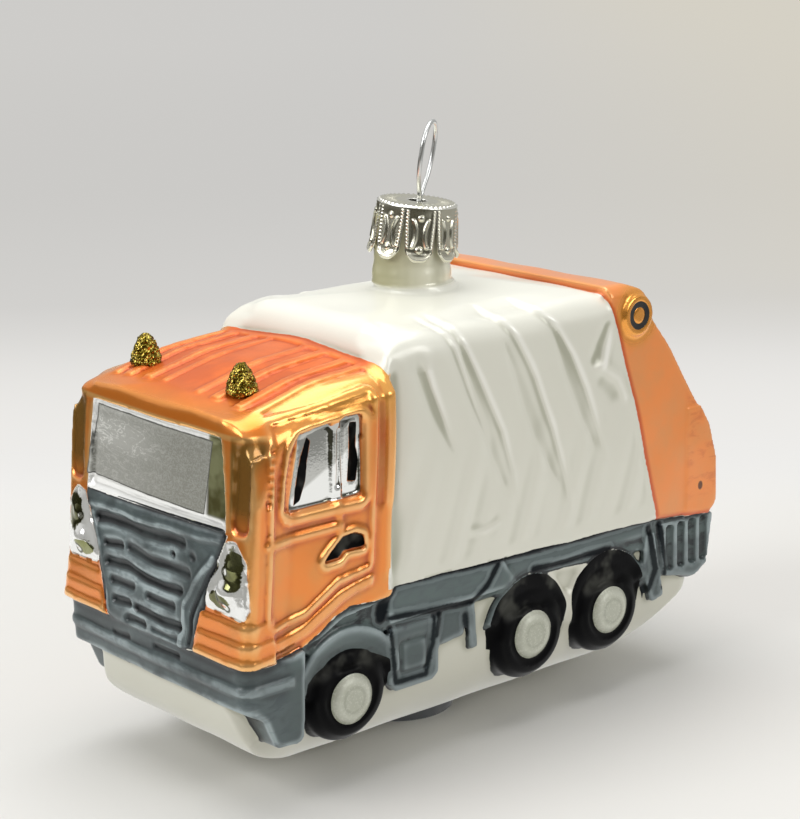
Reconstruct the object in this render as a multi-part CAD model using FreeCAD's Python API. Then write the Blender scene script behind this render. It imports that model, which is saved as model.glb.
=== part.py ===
import FreeCAD, Part
import math
import os

from FreeCAD import Vector

# Blown glass tree ornament in the shape of a garbage truck, millimetres.
# +X is the truck's nose, +Y its left side, +Z up.  z = 0 is the underside of the
# small rest disc.  The pieces are drawn from tailX to noseX and moved at the end,
# so that x = y = 0 is the middle of the truck's length and width.

# ---- driving dimensions -------------------------------------------------------
noseX = 56.5              # foremost point of the bumper and grille
tailX = -55.0             # rearmost point of the tailgate
cabHalf = 23.9            # half width of the cab at its doors
cabFlare = 25.8           # half width of the cab at its front corners
bodyHalf = 22.7           # half width of the load body and tailgate
chassisHalf = 22.1        # half width of the chassis behind its relief
bellyHalf = 21.3          # half width of the smooth belly
glassWall = 1.2           # blown glass wall
paneDepth = 0.6           # panes lie this far inside the cab's skin

cabRearX = 23.0
cabRake = -0.08           # the front leans back this much per millimetre of height
cabSlope = -0.21          # the roof drops this much per millimetre towards the nose
cabMidSlope = -0.12       # and eases off behind the beacons
cabRearSlope = -0.04      # until it is nearly level at the rear
cabBreakX = 37.0          # where the slopes meet
cabRoofZ = 64.0           # roof side edge above the front axle line
cabCrown = 1.8            # the roof's middle stands this much higher
beltZ = 46.8              # lower edge of the windscreen

bodyFrontX = 23.4
bodySideZ = 72.5          # load body shoulder, before it is rounded
bodyCrown = 2.5
bodyRearZ = 73.0          # top of the load body where it meets the tailgate
tailTopZ = 74.1           # the tailgate's top edge stands over the load body
bodyFloorZ = 31.5

hubZ = 16.0
tyreRadius = 8.3
hubRadius = 3.9
hubDrop = {"front": 0.8, "middle": 0.0, "rear": 0.2}
tyreOuterY = 23.3
hubOuterY = 23.9
axles = (33.0, -7.5, -26.5)

neckX = -2.1
neckTopZ = 87.9
neckRadius = 6.3
neckFlare = 7.2
boreRadius = 5.2

capInner = 6.75           # inside radius of the cap's shoulder
capSheet = 0.35
capHeight = 9.6
capFlare = 1.3            # how far the petals stand out at their tips
capTilt = 6.0
petals = 8
capHole = 1.7
capTopZ = 89.5            # top of the cap on its own axis

wire = 0.7
loopWidth = 8.2
loopHeight = 14.0
legDepth = 9.6
legSpread = 3.8
hangerLean = 10.0
leanTowards = 139.2       # heading, in degrees from +X, that cap and hanger lean to
loopHeading = 34.0        # heading of the plane of the wire loop

discX = 3.5
discY = -0.5
discRadius = 10.0
discHeight = 3.4

beaconBase = 2.7
beaconTip = 0.9
beaconHeight = 4.8
beaconPlaces = {"left": (44.6, 12.2), "right": (43.6, -15.2)}

pieces = {}


# ---- outlines and prisms ------------------------------------------------------
def insetOutline(points, depth):
    """Every side of a closed outline moved inwards by depth."""
    area = sum(p[0] * q[1] - q[0] * p[1] for p, q in zip(points, points[1:] + points[:1]))
    side = 1.0 if area > 0 else -1.0
    moved = []
    for here, ahead in zip(points, points[1:] + points[:1]):
        run = (ahead[0] - here[0], ahead[1] - here[1])
        size = math.hypot(*run)
        normal = (-side * run[1] / size, side * run[0] / size)
        start = (here[0] + normal[0] * depth, here[1] + normal[1] * depth)
        moved.append((start, run))
    corners = []
    for (start, run), (before, last) in zip(moved, moved[-1:] + moved[:-1]):
        cross = last[0] * run[1] - last[1] * run[0]
        if abs(cross) < 1e-9:
            corners.append(start)
            continue
        reach = ((start[0] - before[0]) * run[1] - (start[1] - before[1]) * run[0]) / cross
        corners.append((before[0] + last[0] * reach, before[1] + last[1] * reach))
    return corners


def roundedEdges(points, radii, place, closed=True):
    """Lines and tangent arcs through an outline; place maps (u, v) into space."""
    count = len(points)
    stops = []
    for index, corner in enumerate(points):
        radius = radii[index]
        atEnd = not closed and index in (0, count - 1)
        if radius <= 0.01 or atEnd:
            stops.append((corner, None, corner))
            continue
        before = points[index - 1]
        after = points[(index + 1) % count]
        inward = unit(before, corner)
        outward = unit(corner, after)
        bend = math.acos(max(-1.0, min(1.0, inward[0] * outward[0] + inward[1] * outward[1])))
        if bend < 1e-4:
            stops.append((corner, None, corner))
            continue
        trim = radius * math.tan(bend / 2)
        first = (corner[0] - inward[0] * trim, corner[1] - inward[1] * trim)
        second = (corner[0] + outward[0] * trim, corner[1] + outward[1] * trim)
        towards = (outward[0] - inward[0], outward[1] - inward[1])
        size = math.hypot(*towards)
        inset = radius / math.cos(bend / 2) - radius
        middle = (corner[0] + towards[0] / size * inset, corner[1] + towards[1] / size * inset)
        stops.append((first, middle, second))
    edges = []
    for index, (first, middle, second) in enumerate(stops):
        if middle:
            edges.append(Part.Arc(place(first), place(middle), place(second)).toShape())
        if not closed and index == count - 1:
            break
        following = stops[(index + 1) % count][0]
        if math.dist(second, following) > 1e-6:
            edges.append(Part.LineSegment(place(second), place(following)).toShape())
    return edges


def unit(start, end):
    run = (end[0] - start[0], end[1] - start[1])
    size = math.hypot(*run)
    return (run[0] / size, run[1] / size)


def prism(axis, outline, low, high, radius=0.0, inset=0.0, lean=0.0, level=0.0):
    """Rounded outline pulled along an axis.

    The outline is given in (y, z) for x, (x, z) for y and (x, y) for z.
    A leaning prism holds its outline at level, and shifts z for x, x for z.
    """
    points = insetOutline(list(outline), inset)
    radii = radius if isinstance(radius, (list, tuple)) else [radius] * len(points)
    radii = [max(value - inset, 0.25) if value else 0.0 for value in radii]
    shift = lean * (low - level)
    run = high - low
    if axis == "x":
        place = lambda p: Vector(low, p[0], p[1] + shift)
        pull = Vector(run, 0, lean * run)
    elif axis == "y":
        place = lambda p: Vector(p[0], low, p[1])
        pull = Vector(0, run, 0)
    else:
        place = lambda p: Vector(p[0] + shift, p[1], low)
        pull = Vector(lean * run, 0, run)
    face = Part.Face(Part.Wire(roundedEdges(points, radii, place)))
    return face.extrude(pull)


def box(x0, x1, y0, y1, z0, z1):
    return Part.makeBox(x1 - x0, y1 - y0, z1 - z0, Vector(x0, y0, z0))


def common(first, *others):
    shape = first
    for other in others:
        shape = shape.common(other)
    return shape


def fuse(shapes):
    shapes = list(shapes)
    return shapes[0].multiFuse(shapes[1:]) if len(shapes) > 1 else shapes[0]


def lumps(shape, smallest=1.0):
    """The solids of a shape without the slivers that a cut leaves."""
    return Part.makeCompound([solid for solid in shape.Solids if solid.Volume > smallest])


def mirrored(shape):
    return shape.mirror(Vector(0, 0, 0), Vector(0, 1, 0))


def bothSides(shape):
    return [shape, mirrored(shape)]


def recess(form, tool, depth):
    """The skin of a form, depth deep, inside a tool."""
    return tool.common(form(0)).cut(form(depth))


def ridge(form, tool, height):
    """A layer that stands out of a form by height, inside a tool."""
    return tool.common(form(-height)).cut(form(0))


# ---- the five moulded forms ---------------------------------------------------
# Each is the common part of a plan, a cross section and a side outline, and takes
# how far inside the outer skin it is wanted.
def cabForm(inset=0.0):
    corner = noseX - 1.1
    plan = [(10, -cabHalf), (46.5, -cabHalf), (corner, -cabFlare), (noseX - 0.3, 0),
            (corner, cabFlare), (46.5, cabHalf), (10, cabHalf)]
    sill = cabFlare + 0.4
    eave = cabFlare - 1.8
    section = [(-sill, 15), (-sill, 46), (-eave, cabRoofZ), (0, cabRoofZ + cabCrown),
               (eave, cabRoofZ), (sill, 46), (sill, 15)]
    side = [(cabRearX, 30.5), (35, 29.5), (40, 27.2), (46, 26.2), (60, 26.2),
            (54.6, 63.6), (cabRearX, 76)]
    breakZ = cabSlope * (cabBreakX - 50)
    rounding = (0, 20, 6.4, 60, 6.4, 20, 0)
    roofs = [prism("x", section, 15, 62, rounding, inset, cabSlope, 50)]
    for slope, drop in ((cabMidSlope, 0.12), (cabRearSlope, 0.0)):
        level = cabBreakX - (breakZ - drop) / slope
        roofs.append(prism("x", section, 15, 62, rounding, inset, slope, level))
    return common(
        prism("z", plan, 20, 80, (0, 6, 1.6, 90, 1.6, 6, 0), inset, cabRake, 26),
        prism("y", side, -30, 30, (0, 2, 4, 4, 0, 4.5, 0), inset), *roofs)


def bodyForm(inset=0.0):
    section = [(-bodyHalf, 20), (-bodyHalf, bodySideZ), (0, bodySideZ + bodyCrown),
               (bodyHalf, bodySideZ), (bodyHalf, 20)]
    side = [(bodyFrontX, bodyFloorZ + 0.7), (-38.8, bodyFloorZ - 1.5), (-33.7, 50.0),
            (-25.9, bodyRearZ), (-9.0, bodySideZ + bodyCrown + 0.3),
            (bodyFrontX, bodySideZ + bodyCrown - 1.4)]
    return common(
        prism("x", section, -60, 40, (0, 4.6, 80, 4.6, 0), inset),
        prism("y", side, -30, 30, (0, 0, 60, 0.6, 30, 5.5), inset))


def tailForm(inset=0.0):
    section = [(-bodyHalf, 20), (-bodyHalf, tailTopZ - 0.1), (bodyHalf, tailTopZ - 0.1),
               (bodyHalf, 20)]
    side = [(-38.8, bodyFloorZ - 1.5), (tailX + 0.5, bodyFloorZ - 3.4), (tailX + 0.8, 39.0),
            (-52.2, 45.2), (-46.3, 54.4), (-41.6, 61.6), (-37.2, 67.2), (-35.0, 72.4),
            (-31.2, tailTopZ - 0.2), (-26.2, tailTopZ)]
    return common(
        prism("x", section, -60, -10, (0, 2.4, 2.4, 0), inset),
        prism("y", side, -30, 30, (0, 3, 6, 6, 30, 30, 12, 2.5, 4, 0.6), inset))


def chassisForm(inset=0.0):
    plan = [(tailX + 0.2, -chassisHalf), (52.5, -chassisHalf), (52.5, chassisHalf),
            (tailX + 0.2, chassisHalf)]
    side = [(tailX + 0.2, 27.8), (-53.2, 17.5), (-48.5, 16.4), (-38.5, 20.5), (-37, 24.5),
            (52.5, 24.5), (52.5, 32.2), (25, 32.2), (0, 31.5), (-38.8, 30.0)]
    return common(
        prism("z", plan, 5, 40, (4, 4, 4, 4), inset),
        prism("y", side, -30, 30, (1, 3, 4, 1, 1, 0, 0, 0, 0, 0), inset))


def bellyForm(inset=0.0):
    hull = [(-bellyHalf, 30), (-bellyHalf, 13), (-14.5, 1.5), (14.5, 1.5), (bellyHalf, 13),
            (bellyHalf, 30)]
    side = [(-53.5, 26), (-51.5, 17), (-34, 3.2), (-8, 1.5), (34, 1.5), (51.6, 9.4), (55.2, 22),
            (55.2, 26)]
    edge = bellyHalf + 0.3
    plan = [(-53.5, -edge), (55.2, -edge), (55.2, edge), (-53.5, edge)]
    return common(
        prism("x", hull, -60, 60, (0, 13, 17, 17, 13, 0), inset),
        prism("y", side, -30, 30, (0, 7, 30, 60, 22, 11, 8, 0), inset),
        prism("z", plan, -5, 40, 9, inset))


def bumperForm(inset=0.0):
    wing = cabFlare - 0.9
    corner = noseX - 1.2
    plan = [(38, -wing), (corner, -wing), (noseX - 0.5, 0), (corner, wing), (38, wing)]
    side = [(43.4, 26.8), (43.6, 20), (44.0, 11.4), (49.6, 11.6), (51.8, 17.0), (57.2, 19.8),
            (57.2, 26.2), (46.0, 26.2)]
    return common(
        prism("z", plan, 5, 40, (0, 2.6, 60, 2.6, 0), inset),
        prism("y", side, -30, 30, (0.4, 0, 1.5, 1.5, 2, 1.2, 0, 0), inset))


# ---- one hollow inside, open only through the neck ----------------------------
core = fuse([
    box(18, 30, -19.5, 19.5, 34, 58),
    box(-44, -22, -19.5, 19.5, 34, 50),
    box(-46, 46, -18.5, 18.5, 14, 36)])
bore = Part.makeCylinder(boreRadius, 30, Vector(neckX, 0, 60))
hollow = fuse([cabForm(glassWall), bodyForm(glassWall), tailForm(glassWall),
               bellyForm(glassWall), core, bore])


# ---- cab: front and side outlines ---------------------------------------------
# name, outline in (y, z), how far the piece stands out of the skin (+) or in (-)
windscreenOutline = [(-18.8, beltZ), (18.8, beltZ), (17.4, 61.2), (-17.4, 61.2)]
grilleOutline = [(-19.8, beltZ - 0.5), (-14.4, 38.6), (-13.2, 33.6), (-11.2, 26.2), (11.2, 26.2),
                 (13.2, 33.6), (14.4, 38.6), (19.8, beltZ - 0.5)]
lampOutline = [(21.8, 46.0), (19.6, 45.4), (14.9, 37.0), (14.7, 34.4), (24.3, 33.8), (25.1, 35.6),
               (24.4, 43.2)]
deflectorOutline = [(20.4, 46.8), (24.5, 46.8), (24.5, 61.8), (20.7, 61.8)]
# outlines in (x, z) on the cab's sides
frontPane = [(45.4, 49.3), (36.7, 49.2), (36.3, 62.0), (42.6, 61.0)]
rearPane = [(34.6, 49.2), (30.4, 49.4), (30.4, 62.3), (34.6, 62.5)]
windowFrame = [(48.2, 47.2), (28.4, 46.9), (28.2, 63.4), (45.4, 62.2)]
beltOutline = [(50.8, 44.5), (34.6, 44.4), (34.6, 45.5), (50.8, 45.5)]
pillarOutline = [(35.9, 41.9), (34.9, 42.1), (34.9, 49.0), (35.9, 49.0)]
flangeOutline = [(27.6, 35.6), (32.4, 34.9), (36.0, 34.1), (39.6, 32.3), (43.6, 30.2), (47.2, 29.4),
                 (51.4, 29.2), (50.8, 27.7), (46.8, 27.7), (42.4, 28.8), (38.4, 31.0), (35.2, 32.6),
                 (32.0, 33.4), (27.6, 33.9)]
doorOutline = [(51.2, 30.6), (42.6, 31.8), (36.0, 35.6), (27.6, 36.4), (27.0, 66.4), (48.8, 64.2)]
handleOutline = [(39.8, 39.2), (35.4, 39.4), (34.2, 40.4), (29.4, 40.2), (29.8, 42.6), (32.0, 43.4),
                 (34.8, 43.2), (37.2, 41.4)]


def frontTool(outline, radius=0.8, depth=49.4):
    return prism("x", outline, depth, 62, radius)


def sideTool(outline, radius=0.8, inset=0.0):
    return prism("y", outline, 15, 30, radius, inset)


windscreenTool = frontTool(windscreenOutline, 1.4)
grilleTool = frontTool(grilleOutline, 1.0)
lampTools = bothSides(frontTool(lampOutline, 0.9, 51.8).cut(grilleTool))
paneTools = {"front": sideTool(frontPane), "rear": sideTool(rearPane)}
handleTool = sideTool(handleOutline, 0.5)

skin = cabForm()
details = []

# roof ridges running back from the lip over the windscreen, a little askew
roofRidges = (        # y half way along, half width, height
    (4.6, 0.6, 0.30),
    (9.2, 0.9, 0.50),
    (14.9, 0.9, 0.50),
    (18.6, 0.8, 0.45))
ridgeSkew = 0.10
for ridgeY, halfWidth, height in roofRidges:
    for middleY in (ridgeY, -ridgeY):
        run = ridgeSkew * (48.6 - bodyFrontX) / 2
        line = prism("z", [(bodyFrontX, middleY - run - halfWidth), (48.6, middleY + run - halfWidth),
                           (48.6, middleY + run + halfWidth), (bodyFrontX, middleY - run + halfWidth)],
                     55, 80)
        details.append(ridge(cabForm, line, height))

# raised window frame and door edge on each side
frameCorners = (3.0, 2.4, 2.4, 5.0)
frameTool = sideTool(windowFrame, frameCorners).cut(sideTool(windowFrame, frameCorners, 1.5))
doorTool = sideTool(doorOutline, 1.6).cut(sideTool(doorOutline, 1.6, 0.9))
details += bothSides(ridge(cabForm, frameTool, 0.5))
details += bothSides(ridge(cabForm, doorTool, 0.4))

# belt line, pillar, lip round the handle scoop and the rounded flange over the wheel
handleLip = sideTool(handleOutline, 0.5, -0.9).cut(handleTool)
for tool, height in ((sideTool(beltOutline, 0.3), 0.4), (sideTool(pillarOutline, 0.3), 0.3),
                     (handleLip, 0.35), (sideTool(flangeOutline, 0.5), 0.4)):
    details += bothSides(ridge(cabForm, tool, height))

# rim round the rear edge of the cab
rimTool = box(bodyFrontX, cabRearX + 2.2, -30, 30, 34, 80)
details.append(ridge(cabForm, rimTool, 0.5))

# stepped corner blocks under the lamps
for top, height in ((33.0, 0.25), (30.0, 0.5), (27.4, 0.75)):
    blockTool = frontTool([(12.0, 26.2), (26.6, 26.2), (26.6, top), (13.6, top)], 0.3)
    details += bothSides(ridge(cabForm, blockTool, height))

cab = fuse([skin] + details)
for tool in bothSides(frontTool(deflectorOutline, 1.6)):
    cab = cab.cut(recess(cabForm, tool, paneDepth))
openings = [windscreenTool, grilleTool] + lampTools
for tool in list(paneTools.values()) + [handleTool]:
    openings += bothSides(tool)
cab = cab.cut(fuse(openings)).cut(hollow)
pieces["cab"] = cab

pieces["windscreen"] = common(cabForm(paneDepth), windscreenTool).cut(hollow)
for name, tool in paneTools.items():
    for side, sideOf in (("left", tool), ("right", mirrored(tool))):
        pieces["window_" + name + "_" + side] = common(cabForm(paneDepth), sideOf).cut(hollow)
for side, tool in zip(("left", "right"), bothSides(handleTool)):
    pieces["handle_scoop_" + side] = common(cabForm(paneDepth), tool).cut(hollow)

# grille with rows of slots between its bars
grille = common(cabForm(-0.3), grilleTool).cut(hollow)
slotRows = (          # z of the row, half width, slots in the row
    (43.0, 16.4, 3),
    (40.0, 14.6, 3),
    (37.0, 13.2, 3),
    (34.0, 12.4, 3),
    (31.0, 11.8, 3),
    (28.0, 11.0, 3))
barWidth = 1.1
slotHeight = 1.4
slotDepth = 0.7
slots = []
for slotZ, halfWidth, count in slotRows:
    step = 2 * halfWidth / count
    for index in range(count):
        start = -halfWidth + index * step + barWidth / 2
        slots.append(frontTool([(start, slotZ), (start + step - barWidth, slotZ),
                                (start + step - barWidth, slotZ + slotHeight),
                                (start, slotZ + slotHeight)], 0.4))
slotSkin = cabForm(-0.3).cut(cabForm(slotDepth - 0.3))
pieces["grille"] = grille.cut(common(fuse(slots), slotSkin))

# headlamps with a small bulb above a large one
for side, tool, sign in (("left", lampTools[0], 1), ("right", lampTools[1], -1)):
    lamp = common(cabForm(-0.2), tool).cut(hollow)
    bulbs = []
    for bulbY, bulbZ, bulbRadius in ((21.4, 41.4, 1.5), (20.2, 37.2, 2.3)):
        centre = Vector(noseX - 3.2 - bulbRadius * 0.4, sign * bulbY, bulbZ)
        bulbs.append(Part.makeSphere(bulbRadius * 1.4, centre))
    bulbs = common(fuse(bulbs), tool).cut(cabForm(0.4))
    pieces["headlamp_" + side] = fuse([lamp, bulbs])

# ---- beacons: little cones on the roof ----------------------------------------
for side, (beaconX, beaconY) in beaconPlaces.items():
    baseZ = cabRoofZ + cabSlope * (beaconX - 50)
    cone = Part.makeCone(beaconBase, beaconTip, beaconHeight + 1.0, Vector(beaconX, beaconY, baseZ))
    pieces["beacon_" + side] = lumps(cone.cut(cab).cut(cabForm(0)))

# ---- load body with slanting flutes -------------------------------------------
flutes = (            # x at the shoulder, x and z at the foot, widest
    (18.3, 9.0, 50.0, 2.2),
    (7.8, -3.3, 41.0, 2.6),
    (-2.0, -15.6, 40.0, 3.0),
    (-13.6, -24.3, 45.0, 2.6))
fluteTop = 70.4
fluteDepth = 0.4
fluteSag = 0.9            # how far the crisp rear edge bows towards the tail


def fluteTool(startX, footX, footZ, widest):
    """A crescent between two arcs, pulled across the whole body."""
    top = Vector(startX, -30, fluteTop)
    foot = Vector(footX, -30, footZ)
    middle = (top + foot) * 0.5
    near = Part.Arc(top, middle + Vector(widest - fluteSag, 0, 0), foot).toShape()
    far = Part.Arc(foot, middle + Vector(-fluteSag, 0, 0), top).toShape()
    return Part.Face(Part.Wire([near, far])).extrude(Vector(0, 60, 0))


body = bodyForm()
bodySkin = bodyForm().cut(bodyForm(fluteDepth))
grooves = fuse([fluteTool(*flute) for flute in flutes]).common(bodySkin)
body = body.cut(grooves)
body = body.cut(cab).cut(fuse([cabForm(0), hollow]))
pieces["load_body"] = body

# ---- tailgate -----------------------------------------------------------------
pivotX = -33.2
pivotZ = 68.2
bossRadius = 3.6
tail = tailForm()
boss = Part.makeCylinder(bossRadius, 2 * bodyHalf + 1.4, Vector(pivotX, -bodyHalf - 0.7, pivotZ),
                         Vector(0, 1, 0))
tail = tail.fuse(boss)
ring = Part.makeCylinder(2.5, 60, Vector(pivotX, -30, pivotZ), Vector(0, 1, 0))
ring = ring.cut(Part.makeCylinder(1.45, 60, Vector(pivotX, -30, pivotZ), Vector(0, 1, 0)))
ringOutside = bodyHalf + 0.35
tail = tail.cut(ring.cut(box(-60, 0, -ringOutside, ringOutside, 0, 90)))
# the lower side panel stands out a little behind a slanted line
panelTool = prism("y", [(-46.6, 30), (-60, 26), (-60, 50), (-46.6, 49)], -30, 30)
panel = ridge(tailForm, panelTool, 0.3).cut(box(-60, -40, -bodyHalf, bodyHalf, 0, 90))
# shallow field of the hopper door across the rear
hopperTool = prism("x", [(-17.5, 33), (17.5, 33), (17.5, 52), (-17.5, 52)], -60, -40, 2.0)
tail = tail.fuse(panel).cut(recess(tailForm, hopperTool, 0.7))
tail = tail.cut(fuse([bodyForm(0), hollow]))
pieces["tailgate"] = tail
ringOut = box(-60, 0, -ringOutside, ringOutside, 0, 90).cut(box(-60, 0, -21.6, 21.6, 0, 90))
for side, half in (("left", box(-60, 0, 0, 40, 0, 90)), ("right", box(-60, 0, -40, 0, 0, 90))):
    mark = common(ring, half).cut(box(-60, 0, -ringOutside, ringOutside, 0, 90))
    mark = common(mark, box(-60, 0, -bodyHalf - 0.6, bodyHalf + 0.6, 0, 90))
    pieces["pivot_ring_" + side] = mark

# ---- chassis, its side relief and the bumper ----------------------------------
sidePanels = (        # outline in (x, z), how far it stands out of the chassis
    ([(25.2, 31.6), (-1.0, 31.0), (-4.5, 25.6), (24.2, 25.6)], 0.7),
    ([(-2.0, 31.0), (-37.5, 29.8), (-37.0, 27.4), (-3.5, 27.4)], 0.4),
    ([(24.4, 24.4), (13.6, 24.4), (13.6, 14.6), (15.0, 13.4), (23.0, 13.4), (24.4, 14.8)], 0.5),
    ([(13.6, 24.6), (7.2, 24.6), (7.6, 19.4), (13.6, 19.0)], 0.2),
    ([(7.0, 24.6), (5.2, 24.6), (4.6, 16.6), (6.4, 16.4)], 0.4),
    ([(-36.2, 27.4), (-38.4, 27.4), (-41.2, 15.0), (-38.0, 14.2), (-35.6, 20.5)], 0.6),
    ([(-39.8, 28.6), (-54.1, 28.2), (-52.7, 18.6), (-49.4, 17.0), (-40.8, 18.6)], 0.6))
chassis = chassisForm()
shelf = []
for outline, height in sidePanels:
    shelf += bothSides(prism("y", outline, 18.5, chassisHalf + height, 0.5))
arches = (            # axle x, start and end angle of the mudguard from +X, radii
    (33.0, 8, 172, tyreRadius, 11.2),
    (-7.5, 20, 178, tyreRadius, 10.6),
    (-26.5, -5, 160, tyreRadius, 10.6))
for archX, startAngle, endAngle, inner, outer in arches:
    ringShape = Part.makeCylinder(outer, 4.3, Vector(archX, 18.6, hubZ), Vector(0, 1, 0), 360)
    ringShape = ringShape.cut(Part.makeCylinder(inner, 6, Vector(archX, 18, hubZ), Vector(0, 1, 0)))
    reach = 2 * outer
    wedge = [(archX, hubZ)]
    for part in range(5):
        angle = math.radians(startAngle + (endAngle - startAngle) * part / 4)
        wedge.append((archX + reach * math.cos(angle), hubZ + reach * math.sin(angle)))
    shelf += bothSides(common(ringShape, prism("y", wedge, 15, 30)))
wells = []
for axle in axles:
    wells.append(Part.makeCylinder(tyreRadius, 60, Vector(axle, -30, hubZ), Vector(0, 1, 0)))
louvres = []
for index in range(4):
    left = -41.6 - 3.0 * index
    louvres += bothSides(prism("y", [(left, 28.0), (left - 2.0, 27.8), (left - 2.0, 19.0),
                                     (left, 19.6)], chassisHalf - 0.2, 30, 0.6))
square = [(22.2, 22.2), (15.6, 22.2), (15.6, 15.8), (22.2, 15.8)]
squareTool = prism("y", square, 18, 30, 0.8).cut(prism("y", square, 18, 30, 0.8, 0.9))
squareSkin = box(0, 40, chassisHalf + 0.1, 30, 0, 40)
louvres += bothSides(common(squareTool, squareSkin))
upper = fuse([bodyForm(0), tailForm(0), cabForm(0)])
chassis = fuse([chassis] + shelf)
chassis = chassis.cut(fuse(wells + louvres)).cut(fuse([upper, bumperForm(0), hollow]))
chassis = chassis.cut(grilleTool)
chassis = lumps(chassis)
pieces["chassis"] = chassis

bumper = bumperForm()
lip = [(-26, 21.6), (26, 21.6), (26, 22.8), (-26, 22.8)]
bumper = bumper.fuse(ridge(bumperForm, prism("x", lip, 46, 62, 0.3), 0.4))
pieces["bumper"] = bumper.cut(fuse([hollow, cab, grilleTool] + wells))

# ---- belly --------------------------------------------------------------------
belly = bellyForm().cut(fuse([upper, pieces["chassis"], bumperForm(0), hollow] + wells))
belly = belly.cut(chassisForm(0))
pieces["belly"] = lumps(belly)

# ---- wheels: a domed tyre with a pale hub, moulded on the side of the belly ----
def turnedWheel(profile, x, z):
    face = Part.Face(Part.Wire(roundedEdges(profile, [0] * len(profile), lambda p: Vector(*p, 0))))
    turned = face.revolve(Vector(0, 0, 0), Vector(0, 1, 0), 360)
    turned.translate(Vector(x, 0, z))
    return turned


for name, axle in zip(("front", "middle", "rear"), axles):
    tyre = turnedWheel([(0, 17.0), (tyreRadius, 17.0), (tyreRadius, 21.4), (6.9, 23.0),
                        (5.6, tyreOuterY), (5.1, 23.0), (0, 23.0)], axle, hubZ)
    hub = turnedWheel([(0, 18.0), (hubRadius, 18.0), (hubRadius, 23.4), (hubRadius - 0.9, hubOuterY),
                       (0, hubOuterY)], axle, hubZ - hubDrop[name])
    for kind, shape in (("tyre", tyre.cut(hub)), ("hub", hub)):
        for side, wheel in zip(("left", "right"), bothSides(shape)):
            pieces[kind + "_" + name + "_" + side] = wheel.cut(hollow)

# ---- neck ---------------------------------------------------------------------
crownZ = bodySideZ + bodyCrown
neckProfile = [(boreRadius, crownZ - 2.5), (neckFlare, crownZ - 2.5), (neckFlare, crownZ),
               (neckRadius + 0.3, crownZ + 1.4), (neckRadius, neckTopZ), (boreRadius, neckTopZ)]
place = lambda p: Vector(p[0], 0, p[1])
face = Part.Face(Part.Wire(roundedEdges(neckProfile, [0] * len(neckProfile), place)))
neck = face.revolve(Vector(0, 0, 0), Vector(0, 0, 1), 360)
neck.translate(Vector(neckX, 0, 0))
pieces["neck"] = neck.cut(bodyForm(0))

# ---- crown cap: a pressed sheet with eight round-ended petals -------------------
outerRadius = capInner + capSheet
tipRadius = outerRadius + capFlare
capProfile = [(capHole, 0), (outerRadius - 0.7, 0), (outerRadius, -0.7), (tipRadius, -capHeight),
              (tipRadius - capSheet, -capHeight), (capInner, -1.0), (capInner - 0.6, -capSheet),
              (capHole, -capSheet)]
face = Part.Face(Part.Wire(roundedEdges(capProfile, [0] * len(capProfile), place)))
cap = face.revolve(Vector(0, 0, 0), Vector(0, 0, 1), 360)
petalStep = 360.0 / petals
halfPetal = math.pi * tipRadius / petals
notch = [(-0.12, -2.6), (-0.42, -6.6), (-1.0, -8.6), (-halfPetal * 0.75, -capHeight - 0.4),
         (halfPetal * 0.75, -capHeight - 0.4), (1.0, -8.6), (0.42, -6.6), (0.12, -2.6)]
notchTool = prism("x", notch, 3, 12)
cuts = []
for index in range(petals):
    tool = notchTool.copy()
    tool.rotate(Vector(0, 0, 0), Vector(0, 0, 1), petalStep * (index + 0.5))
    cuts.append(tool)
cap = cap.cut(fuse(cuts))

# ---- hanger: one spring wire, looped above the cap and bent into two legs --------
halfLoop = loopWidth / 2
throat = 0.62
path = [(-legSpread + 0.5, -legDepth), (-legSpread, -legDepth + 2.4), (-legSpread + 0.2, -3.4),
        (-throat, -1.0), (-throat, 1.0), (-halfLoop, 5.4), (-halfLoop, loopHeight - wire / 2),
        (halfLoop, loopHeight - wire / 2), (halfLoop, 5.4), (throat, 1.0), (throat, -1.0),
        (legSpread - 0.2, -3.4), (legSpread, -legDepth + 2.4), (legSpread - 0.5, -legDepth)]
bends = (0, 1.5, 1.2, 0.7, 1.2, 3.0, halfLoop - 0.01, halfLoop - 0.01, 3.0, 1.2, 0.7, 1.2, 1.5, 0)
spine = Part.Wire(roundedEdges(path, bends, place, closed=False))
startAt = spine.OrderedEdges[0].valueAt(spine.OrderedEdges[0].FirstParameter)
startAlong = spine.OrderedEdges[0].tangentAt(spine.OrderedEdges[0].FirstParameter)
ringWire = Part.Wire(Part.makeCircle(wire / 2, startAt, startAlong))
hanger = spine.makePipeShell([ringWire], True, False)


def leaning(shape, heading, lean, turn=0.0):
    """Turned about its own axis, then leaned towards a heading and set on the neck."""
    towards = Vector(math.cos(math.radians(heading)), math.sin(math.radians(heading)), 0)
    hinge = Vector(0, 0, 1).cross(towards)
    placed = shape.copy()
    placed.rotate(Vector(0, 0, 0), Vector(0, 0, 1), turn)
    placed.rotate(Vector(0, 0, -capHeight / 2), hinge, lean)
    placed.translate(Vector(neckX, 0, capTopZ))
    return placed


pieces["crown_cap"] = leaning(cap, leanTowards, capTilt)
pieces["wire_hanger"] = leaning(hanger, leanTowards, hangerLean, loopHeading)

# ---- rest disc under the belly --------------------------------------------------
disc = Part.makeCylinder(discRadius, discHeight, Vector(discX, discY, 0))
pieces["rest_disc"] = disc.cut(bellyForm(0))

middle = Vector(-(noseX + tailX) / 2, 0, 0)
os.makedirs("parts", exist_ok=True)
for name, shape in pieces.items():
    shape.translate(middle)
    print("%-22s solids %d volume %9.2f valid %s" % (name, len(shape.Solids), shape.Volume, shape.isValid()))
    shape.exportStep("parts/" + name + ".step")
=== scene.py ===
import bpy, math
import numpy as np
from mathutils import Matrix, Vector, noise
from mathutils.bvhtree import BVHTree


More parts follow.
